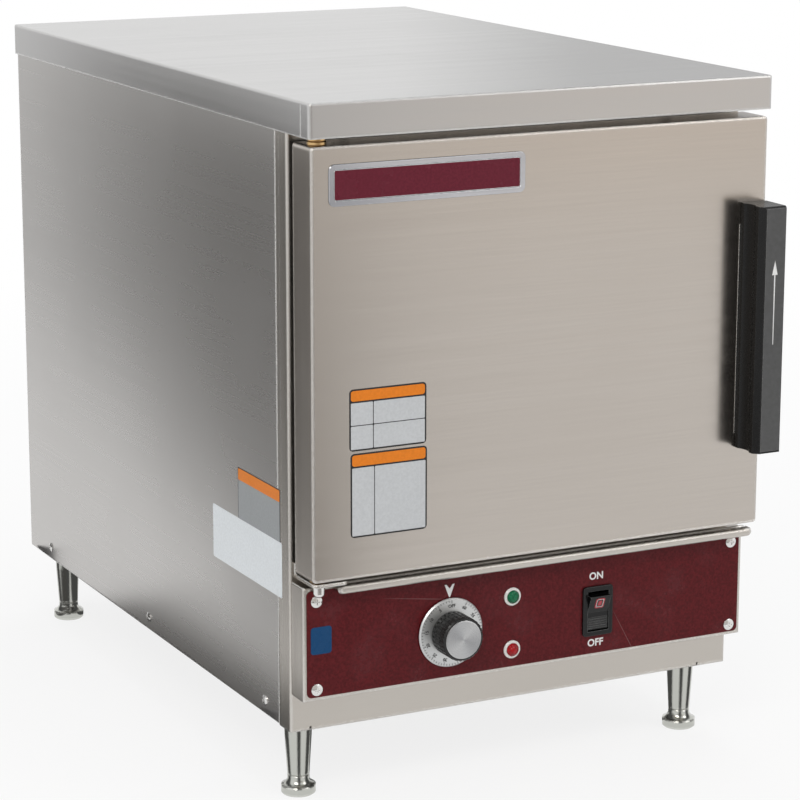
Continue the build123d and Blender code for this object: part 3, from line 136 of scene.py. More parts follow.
grainLook = {"sideFace": 0.7, "underFace": -0.7, "bands": 0.14, "cloudScale": 5.5}
brushedGrain, given, result = startGroup(
    "brushedGrain",
    {"Run": ("Vector", (1, 1, 1)), "Side Run": ("Vector", (1, 1, 0.012)), "Fineness": ("Float", 1400.0)},
    {"Hairs": "Float", "Bands": "Float", "Cloud": "Float", "Under": "Float"})
where = here(brushedGrain)
faces = parts(brushedGrain, add(brushedGrain, "TexCoord").outputs["Normal"])
sideways = maths(brushedGrain, "ABSOLUTE", faces["X"])
onSide = maths(brushedGrain, "GREATER_THAN", sideways, grainLook["sideFace"])   # past a side fold
run = mixed(brushedGrain, onSide, given["Run"], given["Side Run"])
along = vectors(brushedGrain, "MULTIPLY", where, run)
coarse = maths(brushedGrain, "MULTIPLY", given["Fineness"], grainLook["bands"])
feed(brushedGrain, result, {
    "Hairs": noise(brushedGrain, along, given["Fineness"], 3.0),
    "Bands": noise(brushedGrain, along, coarse, 2.0),
    "Cloud": noise(brushedGrain, where, grainLook["cloudScale"], 3.0),
    "Under": maths(brushedGrain, "LESS_THAN", faces["Z"], grainLook["underFace"]),
})

markLook = {"patches": (0.52, 0.72), "ridges": 11.0}
handMarks, given, result = startGroup(
    "handMarks", {"Scale": ("Float", 14.0)}, {"Mask": "Float"})
where = here(handMarks)
patches = spread(handMarks, noise(handMarks, where, given["Scale"], 4.0), *markLook["patches"])
ridges = noise(handMarks, where, maths(handMarks, "MULTIPLY", given["Scale"], markLook["ridges"]), 2.0)
feed(handMarks, result, {"Mask": maths(handMarks, "MULTIPLY", patches, ridges)})

paintedFanLook = {"fans": 2.0, "shift": 2.6}   # painted highlight fans on a spun face, darker between them, and how far round they lie
turnedRings, given, result = startGroup(
    "turnedRings",
    {"Middle": ("Vector", (0, 0, 0)), "Keep": ("Vector", (1, 0, 1)), "Pitch": ("Float", 0.0003)},
    {"Rings": "Float", "PaintedFans": "Float"})
offset = vectors(turnedRings, "SUBTRACT", here(turnedRings), given["Middle"])
reach = vectors(turnedRings, "LENGTH", vectors(turnedRings, "MULTIPLY", offset, given["Keep"]))
steps = maths(turnedRings, "DIVIDE", reach, given["Pitch"])
rings = add(turnedRings, "TexNoise", {"W": steps, "Scale": 1.0, "Detail": 3.0}, noise_dimensions="1D")
sides = parts(turnedRings, offset)
around = maths(turnedRings, "ARCTAN2", sides["Z"], sides["X"])
around = maths(turnedRings, "ADD", maths(turnedRings, "MULTIPLY", around, paintedFanLook["fans"]), paintedFanLook["shift"])
waves = maths(turnedRings, "SINE", around)
feed(turnedRings, result, {"Rings": rings.outputs["Fac"], "PaintedFans": spread(turnedRings, waves, -1.0, 1.0)})

toneScale = 0.3   # how much coarser the tone is than the texture
mouldTexture, given, result = startGroup(
    "mouldTexture", {"Fineness": ("Float", 2200.0)}, {"Height": "Float", "Tone": "Float"})
where = here(mouldTexture)
grains = add(mouldTexture, "TexVoronoi", {"Vector": where, "Scale": given["Fineness"]}).outputs["Distance"]
coarse = maths(mouldTexture, "MULTIPLY", given["Fineness"], toneScale)
feed(mouldTexture, result, {
    "Height": maths(mouldTexture, "ADD", grains, noise(mouldTexture, where, given["Fineness"])),
    "Tone": noise(mouldTexture, where, coarse, 3.0),
})

scratchLook = {"breakScale": 9.0, "breaks": (0.52, 0.62)}   # where the hairlines are broken off
fineScratches, given, result = startGroup(
    "fineScratches", {"Scale": ("Float", 12.0), "Width": ("Float", 0.002)}, {"Mask": "Float"})
where = here(fineScratches)
cells = add(fineScratches, "TexVoronoi", {"Vector": where, "Scale": given["Scale"]},
            feature="DISTANCE_TO_EDGE").outputs["Distance"]
lines = maths(fineScratches, "LESS_THAN", cells, given["Width"])
broken = spread(fineScratches, noise(fineScratches, where, scratchLook["breakScale"], 2.0),
                *scratchLook["breaks"])
feed(fineScratches, result, {"Mask": maths(fineScratches, "MULTIPLY", lines, broken)})

woolLook = {"detail": 5.0, "twist": 4.0, "tufts": 0.12}
woolFibres, given, result = startGroup(
    "woolFibres", {"Scale": ("Float", 260.0)}, {"Height": "Float", "Tone": "Float"})
where = here(woolFibres)
strands = add(woolFibres, "TexNoise", {"Vector": where, "Scale": given["Scale"], "Detail": woolLook["detail"],
                                       "Distortion": woolLook["twist"]}).outputs["Fac"]
tufts = noise(woolFibres, where, maths(woolFibres, "MULTIPLY", given["Scale"], woolLook["tufts"]), 3.0)
feed(woolFibres, result, {"Height": maths(woolFibres, "ADD", strands, tufts), "Tone": tufts})
print("shader groups made")


# Materials

noiseRange = {   # the part of a noise's values that is spread over the whole of a finish's range
    "cloud": (0.35, 0.68), "bands": (0.3, 0.7), "rings": (0.2, 0.8), "mottle": (0.35, 0.65),
}
bumpDepth = {"metal": 0.0001, "plastic": 0.00008, "print": 0.00006, "lens": 0.0006, "wool": 0.0012}   # metres


def newMaterial(name):
    material = bpy.data.materials.new(name)
    material.use_nodes = True
    return material, material.node_tree, material.node_tree.nodes["Principled BSDF"]


def variedColour(tree, amount, colour, change):
    return mixed(tree, amount, shade(colour, 1 - change), shade(colour, 1 + change))


def tinted(tree, base, mask, amount, colour):
    return mixed(tree, maths(tree, "MULTIPLY", mask, amount), base, shade(colour))


def roughened(tree, rough, mask, amount):
    return maths(tree, "ADD", rough, maths(tree, "MULTIPLY", mask, amount))


def bumped(tree, height, strength, depth, normal=None):
    inputs = {"Strength": strength, "Distance": depth, "Height": height}
    if normal:
        inputs["Normal"] = normal
    return add(tree, "Bump", inputs).outputs[0]


def brushedMetal(name, look):
    material, tree, shader = newMaterial(name)
    grain = place(tree, brushedGrain, Run=look["run"], Side_Run=look["sideRun"], Fineness=look["fineness"])
    edges = place(tree, edgeWearAndHighlight, Radius=look["softness"])
    marks = place(tree, handMarks, Scale=look["markScale"])
    base = variedColour(tree, grain["Hairs"], look["colour"], look["streak"])
    cloud = spread(tree, grain["Cloud"], *noiseRange["cloud"], 0.0, look["cloud"])
    base = mixed(tree, cloud, base, shade(look["cloudColour"]))
    # painted highlight along edges and folds, with a little wear
    base = tinted(tree, base, edges["Mask"], look["edge"], look["edgeHighlightColour"])
    if look.get("paintedUnderShade"):   # painted shade: faces that look down are darkened, standing in for the shadow under the lid's overhang
        base = mixed(tree, grain["Under"], base, shade(look["paintedUnderShade"]))
    rough = spread(tree, grain["Bands"], *noiseRange["bands"], *look["rough"])
    rough = roughened(tree, rough, marks["Mask"], look["marks"])
    normal = bumped(tree, grain["Hairs"], look["bump"], bumpDepth["metal"], edges["Normal"])
    feed(tree, shader, {"Base Color": base, "Metallic": 1.0, "Roughness": rough, "Normal": normal})
    return material


def turnedMetal(name, look):
    material, tree, shader = newMaterial(name)
    rings = place(tree, turnedRings, Middle=look["middle"], Keep=look["keep"], Pitch=look["pitch"])
    edges = place(tree, edgeWearAndHighlight, Radius=look["softness"])
    tones = [shade(look["colour"], tone) for tone in look["ringTones"]]
    base = mixed(tree, rings["Rings"], *tones)
    # painted highlight fans round the spun face: the base colour is darkened between them
    base = mixed(tree, rings["PaintedFans"], base, shade(look["paintedFanColour"]), "MULTIPLY")
    # painted highlight along edges, with a little wear
    base = tinted(tree, base, edges["Mask"], look["edge"], look["edgeHighlightColour"])
    rough = spread(tree, rings["Rings"], *noiseRange["rings"], *look["rough"])
    normal = bumped(tree, rings["Rings"], look["bump"], bumpDepth["metal"], edges["Normal"])
    feed(tree, shader, {"Base Color": base, "Metallic": 1.0, "Roughness": rough, "Normal": normal})
    if look.get("anisotropic"):
        around = add(tree, "Tangent", direction_type="RADIAL", axis="Y")
        feed(tree, shader, {"Anisotropic": look["anisotropic"], "Tangent": around.outputs[0]})
    return material


def mouldedPlastic(name, look):
    material, tree, shader = newMaterial(name)
    skin = place(tree, mouldTexture, Fineness=look["fineness"])
    edges = place(tree, edgeWearAndHighlight, Radius=look["softness"])
    marks = place(tree, handMarks, Scale=look["markScale"])
    base = variedColour(tree, skin["Tone"], look["colour"], look["mottle"])
    # painted highlight along edges and chamfers, with a little wear
    base = tinted(tree, base, edges["Mask"], look["edge"], look["edgeHighlightColour"])
    rough = spread(tree, skin["Tone"], *noiseRange["bands"], *look["rough"])
    rough = roughened(tree, rough, marks["Mask"], look["marks"])
    normal = bumped(tree, skin["Height"], look["bump"], bumpDepth["plastic"], edges["Normal"])
    feed(tree, shader, {
        "Base Color": base, "Roughness": rough, "Specular IOR Level": look["specular"],
        "Coat Weight": look["coat"], "Coat Roughness": look["coatRough"], "Normal": normal})
    return material


goAcross, goBack, goUp = (0.012, 1.0, 1.0), (1.0, 0.012, 1.0), (1.0, 1.0, 0.012)   # stretched along X, Y, Z
noRun = (1.0, 1.0, 1.0)
steelLook = {
    "colour": (0.53, 0.515, 0.50), "streak": 0.006, "cloud": 0.20, "cloudColour": (0.45, 0.435, 0.42),
    "edge": 0.85, "edgeHighlightColour": (0.95, 0.94, 0.92), "run": goAcross, "sideRun": goBack, "fineness": 1100.0,
    "rough": (0.27, 0.28), "softness": 0.0024, "bump": 0.002, "marks": 0.03, "markScale": 9.0,
}
sideSteel = brushedMetal("sideSteel", steelLook)
lidSteel = brushedMetal("lidSteel", {
    **steelLook, "colour": (0.50, 0.495, 0.49), "cloudColour": (0.45, 0.445, 0.44), "rough": (0.22, 0.25),
    "paintedUnderShade": (0.10, 0.095, 0.09)})
# frame and door steel are warmer, darker copies of the same steel: a painted warm reflection of the floor in
# front
frameSteel = brushedMetal("frameSteel", {
    **steelLook, "sideRun": goUp, "colour": (0.51, 0.48, 0.44), "cloudColour": (0.44, 0.41, 0.375),
    "rough": (0.22, 0.26), "bump": 0.05, "softness": 0.0028})
doorSteel = brushedMetal("doorSteel", {
    **steelLook, "sideRun": goUp, "colour": (0.495, 0.456, 0.415), "cloudColour": (0.45, 0.41, 0.37),
    "rough": (0.20, 0.24), "streak": 0.04, "bump": 0.05, "softness": 0.0032})
chamberSteel = brushedMetal("chamberSteel", {
    **steelLook, "run": goBack, "colour": (0.56, 0.56, 0.55), "streak": 0.05, "bump": 0.08,
    "cloudColour": (0.46, 0.45, 0.43), "marks": 0.16, "markScale": 22.0, "rough": (0.27, 0.37)})
heaterSheath = brushedMetal("heaterSheath", {
    **steelLook, "run": noRun, "colour": (0.22, 0.21, 0.20), "cloud": 0.9, "cloudColour": (0.24, 0.15, 0.10),
    "edgeHighlightColour": (0.4, 0.36, 0.3), "rough": (0.34, 0.5)})
brightPlate = brushedMetal("brightPlate", {
    **steelLook, "run": noRun, "colour": (0.74, 0.735, 0.72), "streak": 0.05, "fineness": 2600.0,
    "rough": (0.14, 0.22), "softness": 0.0004, "bump": 0.06, "cloud": 0.1})
# the lid screws are near black as painted shade: they sit in the shadow under the lid's overhang
shadeDarkScrew = brushedMetal("shadeDarkScrew", {
    **steelLook, "run": noRun, "colour": (0.05, 0.05, 0.052), "cloudColour": (0.04, 0.04, 0.04),
    "edgeHighlightColour": (0.22, 0.21, 0.2), "rough": (0.3, 0.45), "softness": 0.0004})
polishedChrome = brushedMetal("polishedChrome", {
    **steelLook, "run": (1.0, 1.0, 0.05), "sideRun": (1.0, 1.0, 0.05), "colour": (0.53, 0.535, 0.50),
    "cloud": 0.12, "cloudColour": (0.5, 0.51, 0.46), "edgeHighlightColour": (0.9, 0.9, 0.86), "rough": (0.07, 0.13),
    "bump": 0.03})
plateSilver = brushedMetal("plateSilver", {
    **steelLook, "run": (0.02, 1.0, 1.0), "colour": (0.54, 0.55, 0.58), "streak": 0.12, "cloud": 0.9,
    "cloudColour": (0.34, 0.35, 0.38), "rough": (0.16, 0.26), "softness": 0.0004})

brassLook = {
    "colour": (0.62, 0.42, 0.20), "ringTones": (0.86, 1.12), "paintedFanColour": (1, 1, 1), "edge": 0.6,
    "edgeHighlightColour": (0.9, 0.72, 0.42), "middle": (0.0, 0.0, 0.0), "keep": (0, 0, 1), "pitch": 0.0004,
    "rough": (0.16, 0.30), "bump": 0.25, "softness": 0.0004,
}
turnedBrass = turnedMetal("turnedBrass", brassLook)
dialLook = {
    **brassLook, "edgeHighlightColour": (0.92, 0.92, 0.92), "middle": tuple(joints["timer_turn"]["pos_m"]),
    "keep": (1, 0, 1),
}
spunCap = turnedMetal("spunCap", {
    **dialLook, "colour": (0.52, 0.525, 0.53), "pitch": 0.00022, "rough": (0.22, 0.34), "bump": 0.30,
    "anisotropic": 0.85, "paintedFanColour": (0.62, 0.62, 0.63)})
dialMetal = turnedMetal("dialMetal", {
    **dialLook, "colour": (0.60, 0.61, 0.61), "pitch": 0.0005, "rough": (0.36, 0.44), "bump": 0.05})

blackLook = {
    "colour": (0.020, 0.020, 0.021), "mottle": 0.35, "edge": 0.35, "edgeHighlightColour": (0.10, 0.10, 0.10),
    "fineness": 1600.0, "rough": (0.38, 0.50), "bump": 0.25, "specular": 0.40, "softness": 0.0006,
    "marks": 0.12, "markScale": 30.0, "coat": 0.0, "coatRough": 0.08,
}
handlePlastic = mouldedPlastic("handlePlastic", {
    **blackLook, "colour": (0.006, 0.006, 0.0062), "bump": 0.20, "specular": 0.26, "rough": (0.22, 0.30),
    "edge": 0.6})
handleSkin = mouldedPlastic("handleSkin", {
    **blackLook, "colour": (0.046, 0.047, 0.048), "fineness": 900.0, "bump": 0.60, "mottle": 0.45,
    "specular": 0.7, "rough": (0.36, 0.46), "edge": 0.8, "edgeHighlightColour": (0.30, 0.30, 0.30)})
knobPlastic = mouldedPlastic("knobPlastic", {
    **blackLook, "colour": (0.006, 0.006, 0.006), "rough": (0.28, 0.4)})
switchPlastic = mouldedPlastic("switchPlastic", {
    **blackLook, "colour": (0.004, 0.004, 0.0042), "rough": (0.14, 0.22), "bump": 0.05, "specular": 0.30,
    "edge": 0.9, "edgeHighlightColour": (0.20, 0.20, 0.20)})
electricalPlastic = mouldedPlastic("electricalPlastic", {
    **blackLook, "colour": (0.04, 0.04, 0.043), "rough": (0.4, 0.5), "bump": 0.12})
lampWhite = mouldedPlastic("lampWhite", {
    **blackLook, "colour": (0.80, 0.79, 0.76), "mottle": 0.04, "edge": 0.4, "edgeHighlightColour": (0.95, 0.95, 0.93),
    "rough": (0.16, 0.26), "bump": 0.04, "specular": 0.5, "coat": 0.3})
siliconeRubber = mouldedPlastic("siliconeRubber", {
    **blackLook, "colour": (0.10, 0.10, 0.10), "mottle": 0.12, "rough": (0.5, 0.62), "bump": 0.18,
    "specular": 0.3})
printWhite = mouldedPlastic("printWhite", {
    **blackLook, "colour": (0.80, 0.80, 0.79), "mottle": 0.06, "edge": 0.0, "rough": (0.4, 0.5), "bump": 0.05,
    "specular": 0.3, "softness": 0.0001})
printBlack = mouldedPlastic("printBlack", {
    **blackLook, "colour": (0.012, 0.012, 0.013), "edge": 0.0, "rough": (0.35, 0.45), "bump": 0.05,
    "softness": 0.0001})


def lampLens(name, look):
    material, tree, shader = newMaterial(name)
    facets = add(tree, "TexVoronoi", {"Vector": here(tree), "Scale": look["facets"]}).outputs["Distance"]
    facing = add(tree, "LayerWeight", {"Blend": look["rimBlend"]}).outputs["Facing"]
    base = mixed(tree, facets, shade(look["colour"], 1.5), shade(look["colour"], 0.5))
    base = mixed(tree, facing, base, shade(look["rimColour"]))
    normal = bumped(tree, facets, look["bump"], bumpDepth["lens"])
    feed(tree, shader, {"Base Color": base, "Roughness": look["rough"],
                        "Specular IOR Level": look["specular"], "Normal": normal})
    return material


greenLook = {
    "colour": (0.0, 0.15, 0.06), "rimColour": (0.0, 0.05, 0.02), "rimBlend": 0.35, "facets": 620.0,
    "rough": 0.12, "specular": 0.3, "bump": 0.9,
}
lensGreen = lampLens("lensGreen", greenLook)
lensRed = lampLens("lensRed", {
    **greenLook, "colour": (0.40, 0.003, 0.008), "rimColour": (0.14, 0.001, 0.003)})


def panelPrint(name, look):   # a glossy printed skin, slightly mottled, with hairline wear
    material, tree, shader = newMaterial(name)
    skin = place(tree, mouldTexture, Fineness=look["fineness"])
    wear = place(tree, fineScratches, Scale=look["scratchScale"], Width=look["scratchWidth"])
    marks = place(tree, handMarks, Scale=look["markScale"])
    edges = place(tree, edgeWearAndHighlight, Radius=look["softness"])
    tone = spread(tree, skin["Tone"], *noiseRange["mottle"])
    base = variedColour(tree, tone, look["colour"], look["mottle"])
    base = tinted(tree, base, marks["Mask"], look["marks"], look["markColour"])
    base = tinted(tree, base, wear["Mask"], look["wear"], look["wearColour"])
    rough = roughened(tree, look["rough"], marks["Mask"], look["markRough"])
    normal = bumped(tree, skin["Height"], look["bump"], bumpDepth["print"], edges["Normal"])
    feed(tree, shader, {"Base Color": base, "Roughness": rough, "Specular IOR Level": look["specular"],
                        "Normal": normal})
    return material


maroonLook = {
    "colour": (0.096, 0.0075, 0.0100), "mottle": 0.20, "fineness": 1700.0, "scratchScale": 7.0,
    "scratchWidth": 0.0018, "wear": 0.30, "wearColour": (0.36, 0.22, 0.22), "marks": 0.20, "markScale": 26.0,
    "markColour": (0.20, 0.09, 0.10), "markRough": 0.25, "rough": 0.20, "specular": 0.14, "bump": 0.12,
    "softness": 0.0003,
}
panelMaroon = panelPrint("panelMaroon", maroonLook)
plateMaroon = panelPrint("plateMaroon", {
    **maroonLook, "colour": (0.130, 0.015, 0.029), "mottle": 0.10, "wear": 0.0, "marks": 0.08, "rough": 0.26})
paperLook = {**maroonLook, "mottle": 0.04, "wear": 0.1, "marks": 0.10, "rough": 0.34}
labelWhite = panelPrint("labelWhite", {
    **paperLook, "colour": (0.56, 0.575, 0.59), "wearColour": (0.4, 0.4, 0.4),
    "markColour": (0.42, 0.42, 0.41)})
labelBright = panelPrint("labelBright", {
    **paperLook, "colour": (0.78, 0.82, 0.85), "wearColour": (0.6, 0.6, 0.6),
    "markColour": (0.62, 0.62, 0.62), "rough": 0.28, "specular": 0.5})
labelOrange = panelPrint("labelOrange", {
    **paperLook, "colour": (0.78, 0.22, 0.020), "wearColour": (0.6, 0.4, 0.2),
    "markColour": (0.6, 0.22, 0.04)})
labelGrey = panelPrint("labelGrey", {
    **paperLook, "colour": (0.33, 0.345, 0.355), "wear": 0.15, "wearColour": (0.4, 0.4, 0.4), "marks": 0.2,
    "markColour": (0.28, 0.28, 0.27), "rough": 0.36})
badgeBlue = panelPrint("badgeBlue", {
    **paperLook, "colour": (0.008, 0.060, 0.165), "wear": 0.0, "marks": 0.20,
    "markColour": (0.06, 0.14, 0.26), "rough": 0.26})
windowRed = panelPrint("windowRed", {
    **paperLook, "colour": (0.42, 0.035, 0.05), "wear": 0.0, "marks": 0.20, "markColour": (0.4, 0.1, 0.1),
    "rough": 0.18, "specular": 0.5})


def insulationWool(name, look):
    material, tree, shader = newMaterial(name)
    fibres = place(tree, woolFibres, Scale=look["scale"])
    base = mixed(tree, fibres["Tone"], *[shade(look["colour"], tone) for tone in look["tones"]])
    normal = bumped(tree, fibres["Height"], look["bump"], bumpDepth["wool"])
    feed(tree, shader, {"Base Color": base, "Roughness": look["rough"], "Sheen Weight": look["sheen"],
                        "Specular IOR Level": look["specular"], "Normal": normal})
    return material


def circuitBoard(name, look):   # laminate below, tinned traces on it, and dark relay cases above it
    material, tree, shader = newMaterial(name)
    where = here(tree)
    traces = add(tree, "TexBrick", {
        "Vector": where, "Scale": look["traceScale"], "Mortar Size": look["traceWidth"],
        "Color1": shade(look["colour"], 0.8), "Color2": shade(look["colour"], 1.2),
        "Mortar": shade(look["traceColour"])})
    above = maths(tree, "GREATER_THAN", parts(tree, where)["Z"], look["casesFrom"])
    base = mixed(tree, above, traces.outputs["Color"], shade(look["caseColour"]))
    skin = place(tree, mouldTexture, Fineness=look["fineness"])
    rough = roughened(tree, look["rough"], skin["Tone"], look["roughChange"])
    normal = bumped(tree, skin["Height"], look["bump"], bumpDepth["metal"])
    feed(tree, shader, {"Base Color": base, "Roughness": rough, "Normal": normal})
    return material


glassWool = insulationWool("glassWool", {
    "colour": (0.74, 0.70, 0.60), "tones": (0.78, 1.12), "scale": 260.0, "bump": 0.8, "rough": 0.95,
    "sheen": 0.25, "specular": 0.1})
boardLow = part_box("level_control_board")[0]
controlBoard = circuitBoard("controlBoard", {
    "colour": (0.02, 0.16, 0.065), "traceColour": (0.30, 0.36, 0.20), "traceScale": 60.0, "traceWidth": 0.035,
    "caseColour": (0.02, 0.035, 0.09), "casesFrom": boardLow.z + 12.0 * mm, "fineness": 1500.0,
    "rough": 0.28, "roughChange": 0.2, "bump": 0.2})

finishes = {
    lidSteel: ["lid"],
    sideSteel: ["left_side_panel", "right_side_panel", "back_panel", "base_pan"],
    frameSteel: ["front_frame", "control_housing", "lower_hinge_bracket", "drip_trough"],
    doorSteel: ["door_outer"],
    chamberSteel: ["chamber_liner", "door_inner", "drain_pipe", "left_pan_rack", "right_pan_rack",
                   "probe_shield", "floor_plate", "level_probe"],
    heaterSheath: ["heating_element"],
    glassWool: ["chamber_insulation", "door_insulation"],
    turnedBrass: ["water_inlet_valve", "upper_hinge_washer", "upper_hinge_bush", "lower_hinge_bush"],
    electricalPlastic: ["cable_gland", "contactor", "terminal_block", "timer_body"],
    controlBoard: ["level_control_board"],
    panelMaroon: ["control_overlay"],
    brightPlate: ["panel_screws", "side_screws", "back_screws", "upper_hinge_pin", "lower_hinge_pin",
                  "latch_strike", "handle_guides", "latch_bar", "timer_shaft"],
    shadeDarkScrew: ["lid_screws"],
    switchPlastic: ["rocker_switch_body", "rocker_paddle"],
    lampWhite: ["green_lamp_body", "red_lamp_body"],
    lensGreen: ["green_lamp_lens"],
    lensRed: ["red_lamp_lens"],
    siliconeRubber: ["door_gasket"],
    handlePlastic: ["handle_grip"],
    knobPlastic: ["knob_grip"],
    spunCap: ["knob_cap"],
    dialMetal: ["timer_dial"],
    polishedChrome: [name for name in nodes if name.startswith(("leg_", "foot_"))],
}
for material, names in finishes.items():
    for name in names:
        for socket in nodes[name].material_slots:
            socket.material = material
bare = set(nodes) - {name for names in finishes.values() for name in names}
print("materials set; nodes without one:", sorted(bare))


# Thin pieces that are stuck or printed on the steamer

def onFace(spot, facing, lean=0.0):
    across, up = (Vector(axis) for axis in facing)
    out = across.cross(up)
    up = Matrix.Rotation(lean, 3, across) @ up
    out = Matrix.Rotation(lean, 3, across) @ out
    turn = Matrix((across, up, out)).transposed().to_4x4()
    return Matrix.Translation(Vector(spot)) @ turn


def roundedRectangle(width, height, radius, inset=0.0, steps=6):
    w, h = width / 2 - inset, height / 2 - inset
    r = max(radius - inset, 0.00002)
    points = []
    for quarter, (cx, cy) in enumerate(((w - r, h - r), (r - w, h - r), (r - w, r - h), (w - r, r - h))):
        for step in range(steps + 1):
            angle = math.radians(90 * (quarter + step / steps))
            points.append((cx + r * math.cos(angle), cy + r * math.sin(angle)))
    return points


def skin(mesh, first, second):
    for i in range(len(first)):
        j = (i + 1) % len(first)
        mesh.faces.new((first[i], first[j], second[j], second[i]))


def ringOf(mesh, points, height):
    return [mesh.verts.new((x, y, height)) for x, y in points]


def meshData(mesh, name):
    data = bpy.data.meshes.new(name)
    mesh.to_mesh(data)
    mesh.free()
    return data


def newObject(name, data):
    thing = bpy.data.objects.new(name, data)
    scene.collection.objects.link(thing)
    return thing


def settle(mesh, name, spot, material, body):
    bmesh.ops.recalc_face_normals(mesh, faces=mesh.faces)
    data = meshData(mesh, name)
    data.transform(spot)
    data.materials.append(material)
    piece = newObject(name, data)
    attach(piece, body)
    return piece


def platePiece(name, spot, size, thick, edge, material, body, hole=None):
    mesh = bmesh.new()
    levels = ((0.0, 0.0), (0.0, thick - edge), (edge, thick))
    outer = [ringOf(mesh, roundedRectangle(*size, inset), height) for inset, height in levels]
    for low, high in zip(outer, outer[1:]):
        skin(mesh, low, high)
    if hole:
        inner = [ringOf(mesh, roundedRectangle(*hole, -inset), height) for inset, height in levels]
        for low, high in zip(inner, inner[1:]):
            skin(mesh, low, high)
        skin(mesh, outer[0], inner[0])
        skin(mesh, outer[-1], inner[-1])
    else:
        mesh.faces.new(outer[0])
        mesh.faces.new(outer[-1])
    return settle(mesh, name, spot, material, body)


def cutPieces(name, spot, outlines, thick, material, body):
    mesh = bmesh.new()
    for points in outlines:
        low, high = ringOf(mesh, points, 0.0), ringOf(mesh, points, thick)
        skin(mesh, low, high)
        mesh.faces.new(low)
        mesh.faces.new(high)
    return settle(mesh, name, spot, material, body)


def letters(name, spot, entries, look, material, body):
    mesh = bmesh.new()
    for text, x, y, turn in entries:
        curve = bpy.data.curves.new(name, "FONT")
        curve.body = text
        curve.size = look["size"]
        curve.offset = look["bold"]
        curve.extrude = look["thick"]
        curve.resolution_u = 3
        curve.align_x, curve.align_y = "CENTER", "CENTER"
        writing = newObject(name + "Text", curve)
        bpy.context.view_layer.update()
        solid = bpy.data.meshes.new_from_object(writing.evaluated_get(bpy.context.evaluated_depsgraph_get()))
        solid.transform(Matrix.Translation((x, y, 0)) @ Matrix.Rotation(turn, 4, "Z"))
        mesh.from_mesh(solid)
        bpy.data.objects.remove(writing)
        bpy.data.curves.remove(curve)
        bpy.data.meshes.remove(solid)
    return settle(mesh, name, spot, material, body)


def middleOf(low, high):
    return (low + high) / 2


def scaled(points):
    return [(x * mm, y * mm) for x, y in points]


doorLow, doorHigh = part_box("door_outer")
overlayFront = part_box("control_overlay")[0].y
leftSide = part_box("left_side_panel")[0].x
dialLow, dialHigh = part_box("timer_dial")
handleLow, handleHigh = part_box("handle_grip")
switchLow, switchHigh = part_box("rocker_switch_body")

namePlate = {
    "left": 14.8 * mm, "down": 14.3 * mm, "size": (174.0 * mm, 33.3 * mm, 5.2 * mm), "thick": 1.1 * mm,
    "edge": 0.5 * mm, "border": 4.6 * mm, "fieldRadius": 1.6 * mm, "fieldThick": 0.75 * mm,
    "fieldEdge": 0.1 * mm, "line": 0.5 * mm, "lineRadius": 1.2 * mm, "lineRise": 0.12 * mm,
    "lineEdge": 0.05 * mm,
}
width, height, radius = namePlate["size"]
spot = onFace((doorLow.x + namePlate["left"] + width / 2, doorLow.y,
               doorHigh.z - namePlate["down"] - height / 2), facingFront)
field = (width - 2 * namePlate["border"], height - 2 * namePlate["border"], namePlate["fieldRadius"])
lip = (field[0] - 2 * namePlate["line"], field[1] - 2 * namePlate["line"], namePlate["lineRadius"])
platePiece("namePlateFrame", spot, namePlate["size"], namePlate["thick"], namePlate["edge"], plateSilver,
           "door", hole=field)
platePiece("namePlateField", spot, field, namePlate["fieldThick"], namePlate["fieldEdge"], plateMaroon,
           "door")
platePiece("namePlateLine", spot, field, namePlate["fieldThick"] + namePlate["lineRise"],
           namePlate["lineEdge"], plateSilver, "door", hole=lip)

doorLabels = {   # in millimetres: left and bottom edges on the door, size, and where the fields divide
    "upperLabel": {"left": 32.2, "low": 105.1, "size": (68.5, 50.5), "header": 10.6, "column": 19.5,
                   "row": 19.0},
    "lowerLabel": {"left": 33.2, "low": 33.9, "size": (68.2, 69.2), "header": 11.2, "column": 19.5,
                   "row": None},
}
labelLook = {
    "radius": 3.4, "line": 1.35, "thick": 0.12, "edge": 0.03, "rise": 0.04, "fieldRadius": 0.8,
    "headRadius": 2.2,
}


def dividedLabel(name, label, body):
    width, height = label["size"]
    line, header = labelLook["line"], label["header"]
    printed = (labelLook["thick"] + labelLook["rise"]) * mm
    spot = onFace((doorLow.x + (label["left"] + width / 2) * mm, doorLow.y,
                   doorLow.z + (label["low"] + height / 2) * mm), facingFront)
    outer = (width * mm, height * mm, labelLook["radius"] * mm)
    platePiece(name + "Backing", spot, outer, labelLook["thick"] * mm, labelLook["edge"] * mm, printBlack,
               body)
    left, right = line - width / 2, width / 2 - line
    low, high = line - height / 2, height / 2 - header - line / 2
    column = left + label["column"]
    columns, rows = [(left, column), (column + line / 2, right)], [(low, high)]
    if label["row"]:
        cut = low + label["row"]
        rows = [(low, cut), (cut + line / 2, high)]
    outlines = []
    for a, b in columns:
        for c, d in rows:
            shape = roundedRectangle(b - a, d - c, labelLook["fieldRadius"], steps=3)
            outlines.append(scaled((x + middleOf(a, b), z + middleOf(c, d)) for x, z in shape))
    cutPieces(name + "Fields", spot, outlines, printed, labelWhite, body)
    strip = header - 1.5 * line
    head = roundedRectangle(width - 2 * line, strip, labelLook["headRadius"])
    outline = scaled((x, z + height / 2 - line - strip / 2) for x, z in head)
    cutPieces(name + "Header", spot, [outline], printed, labelOrange, body)


for name, label in doorLabels.items():
    dividedLabel(name, label, "door")

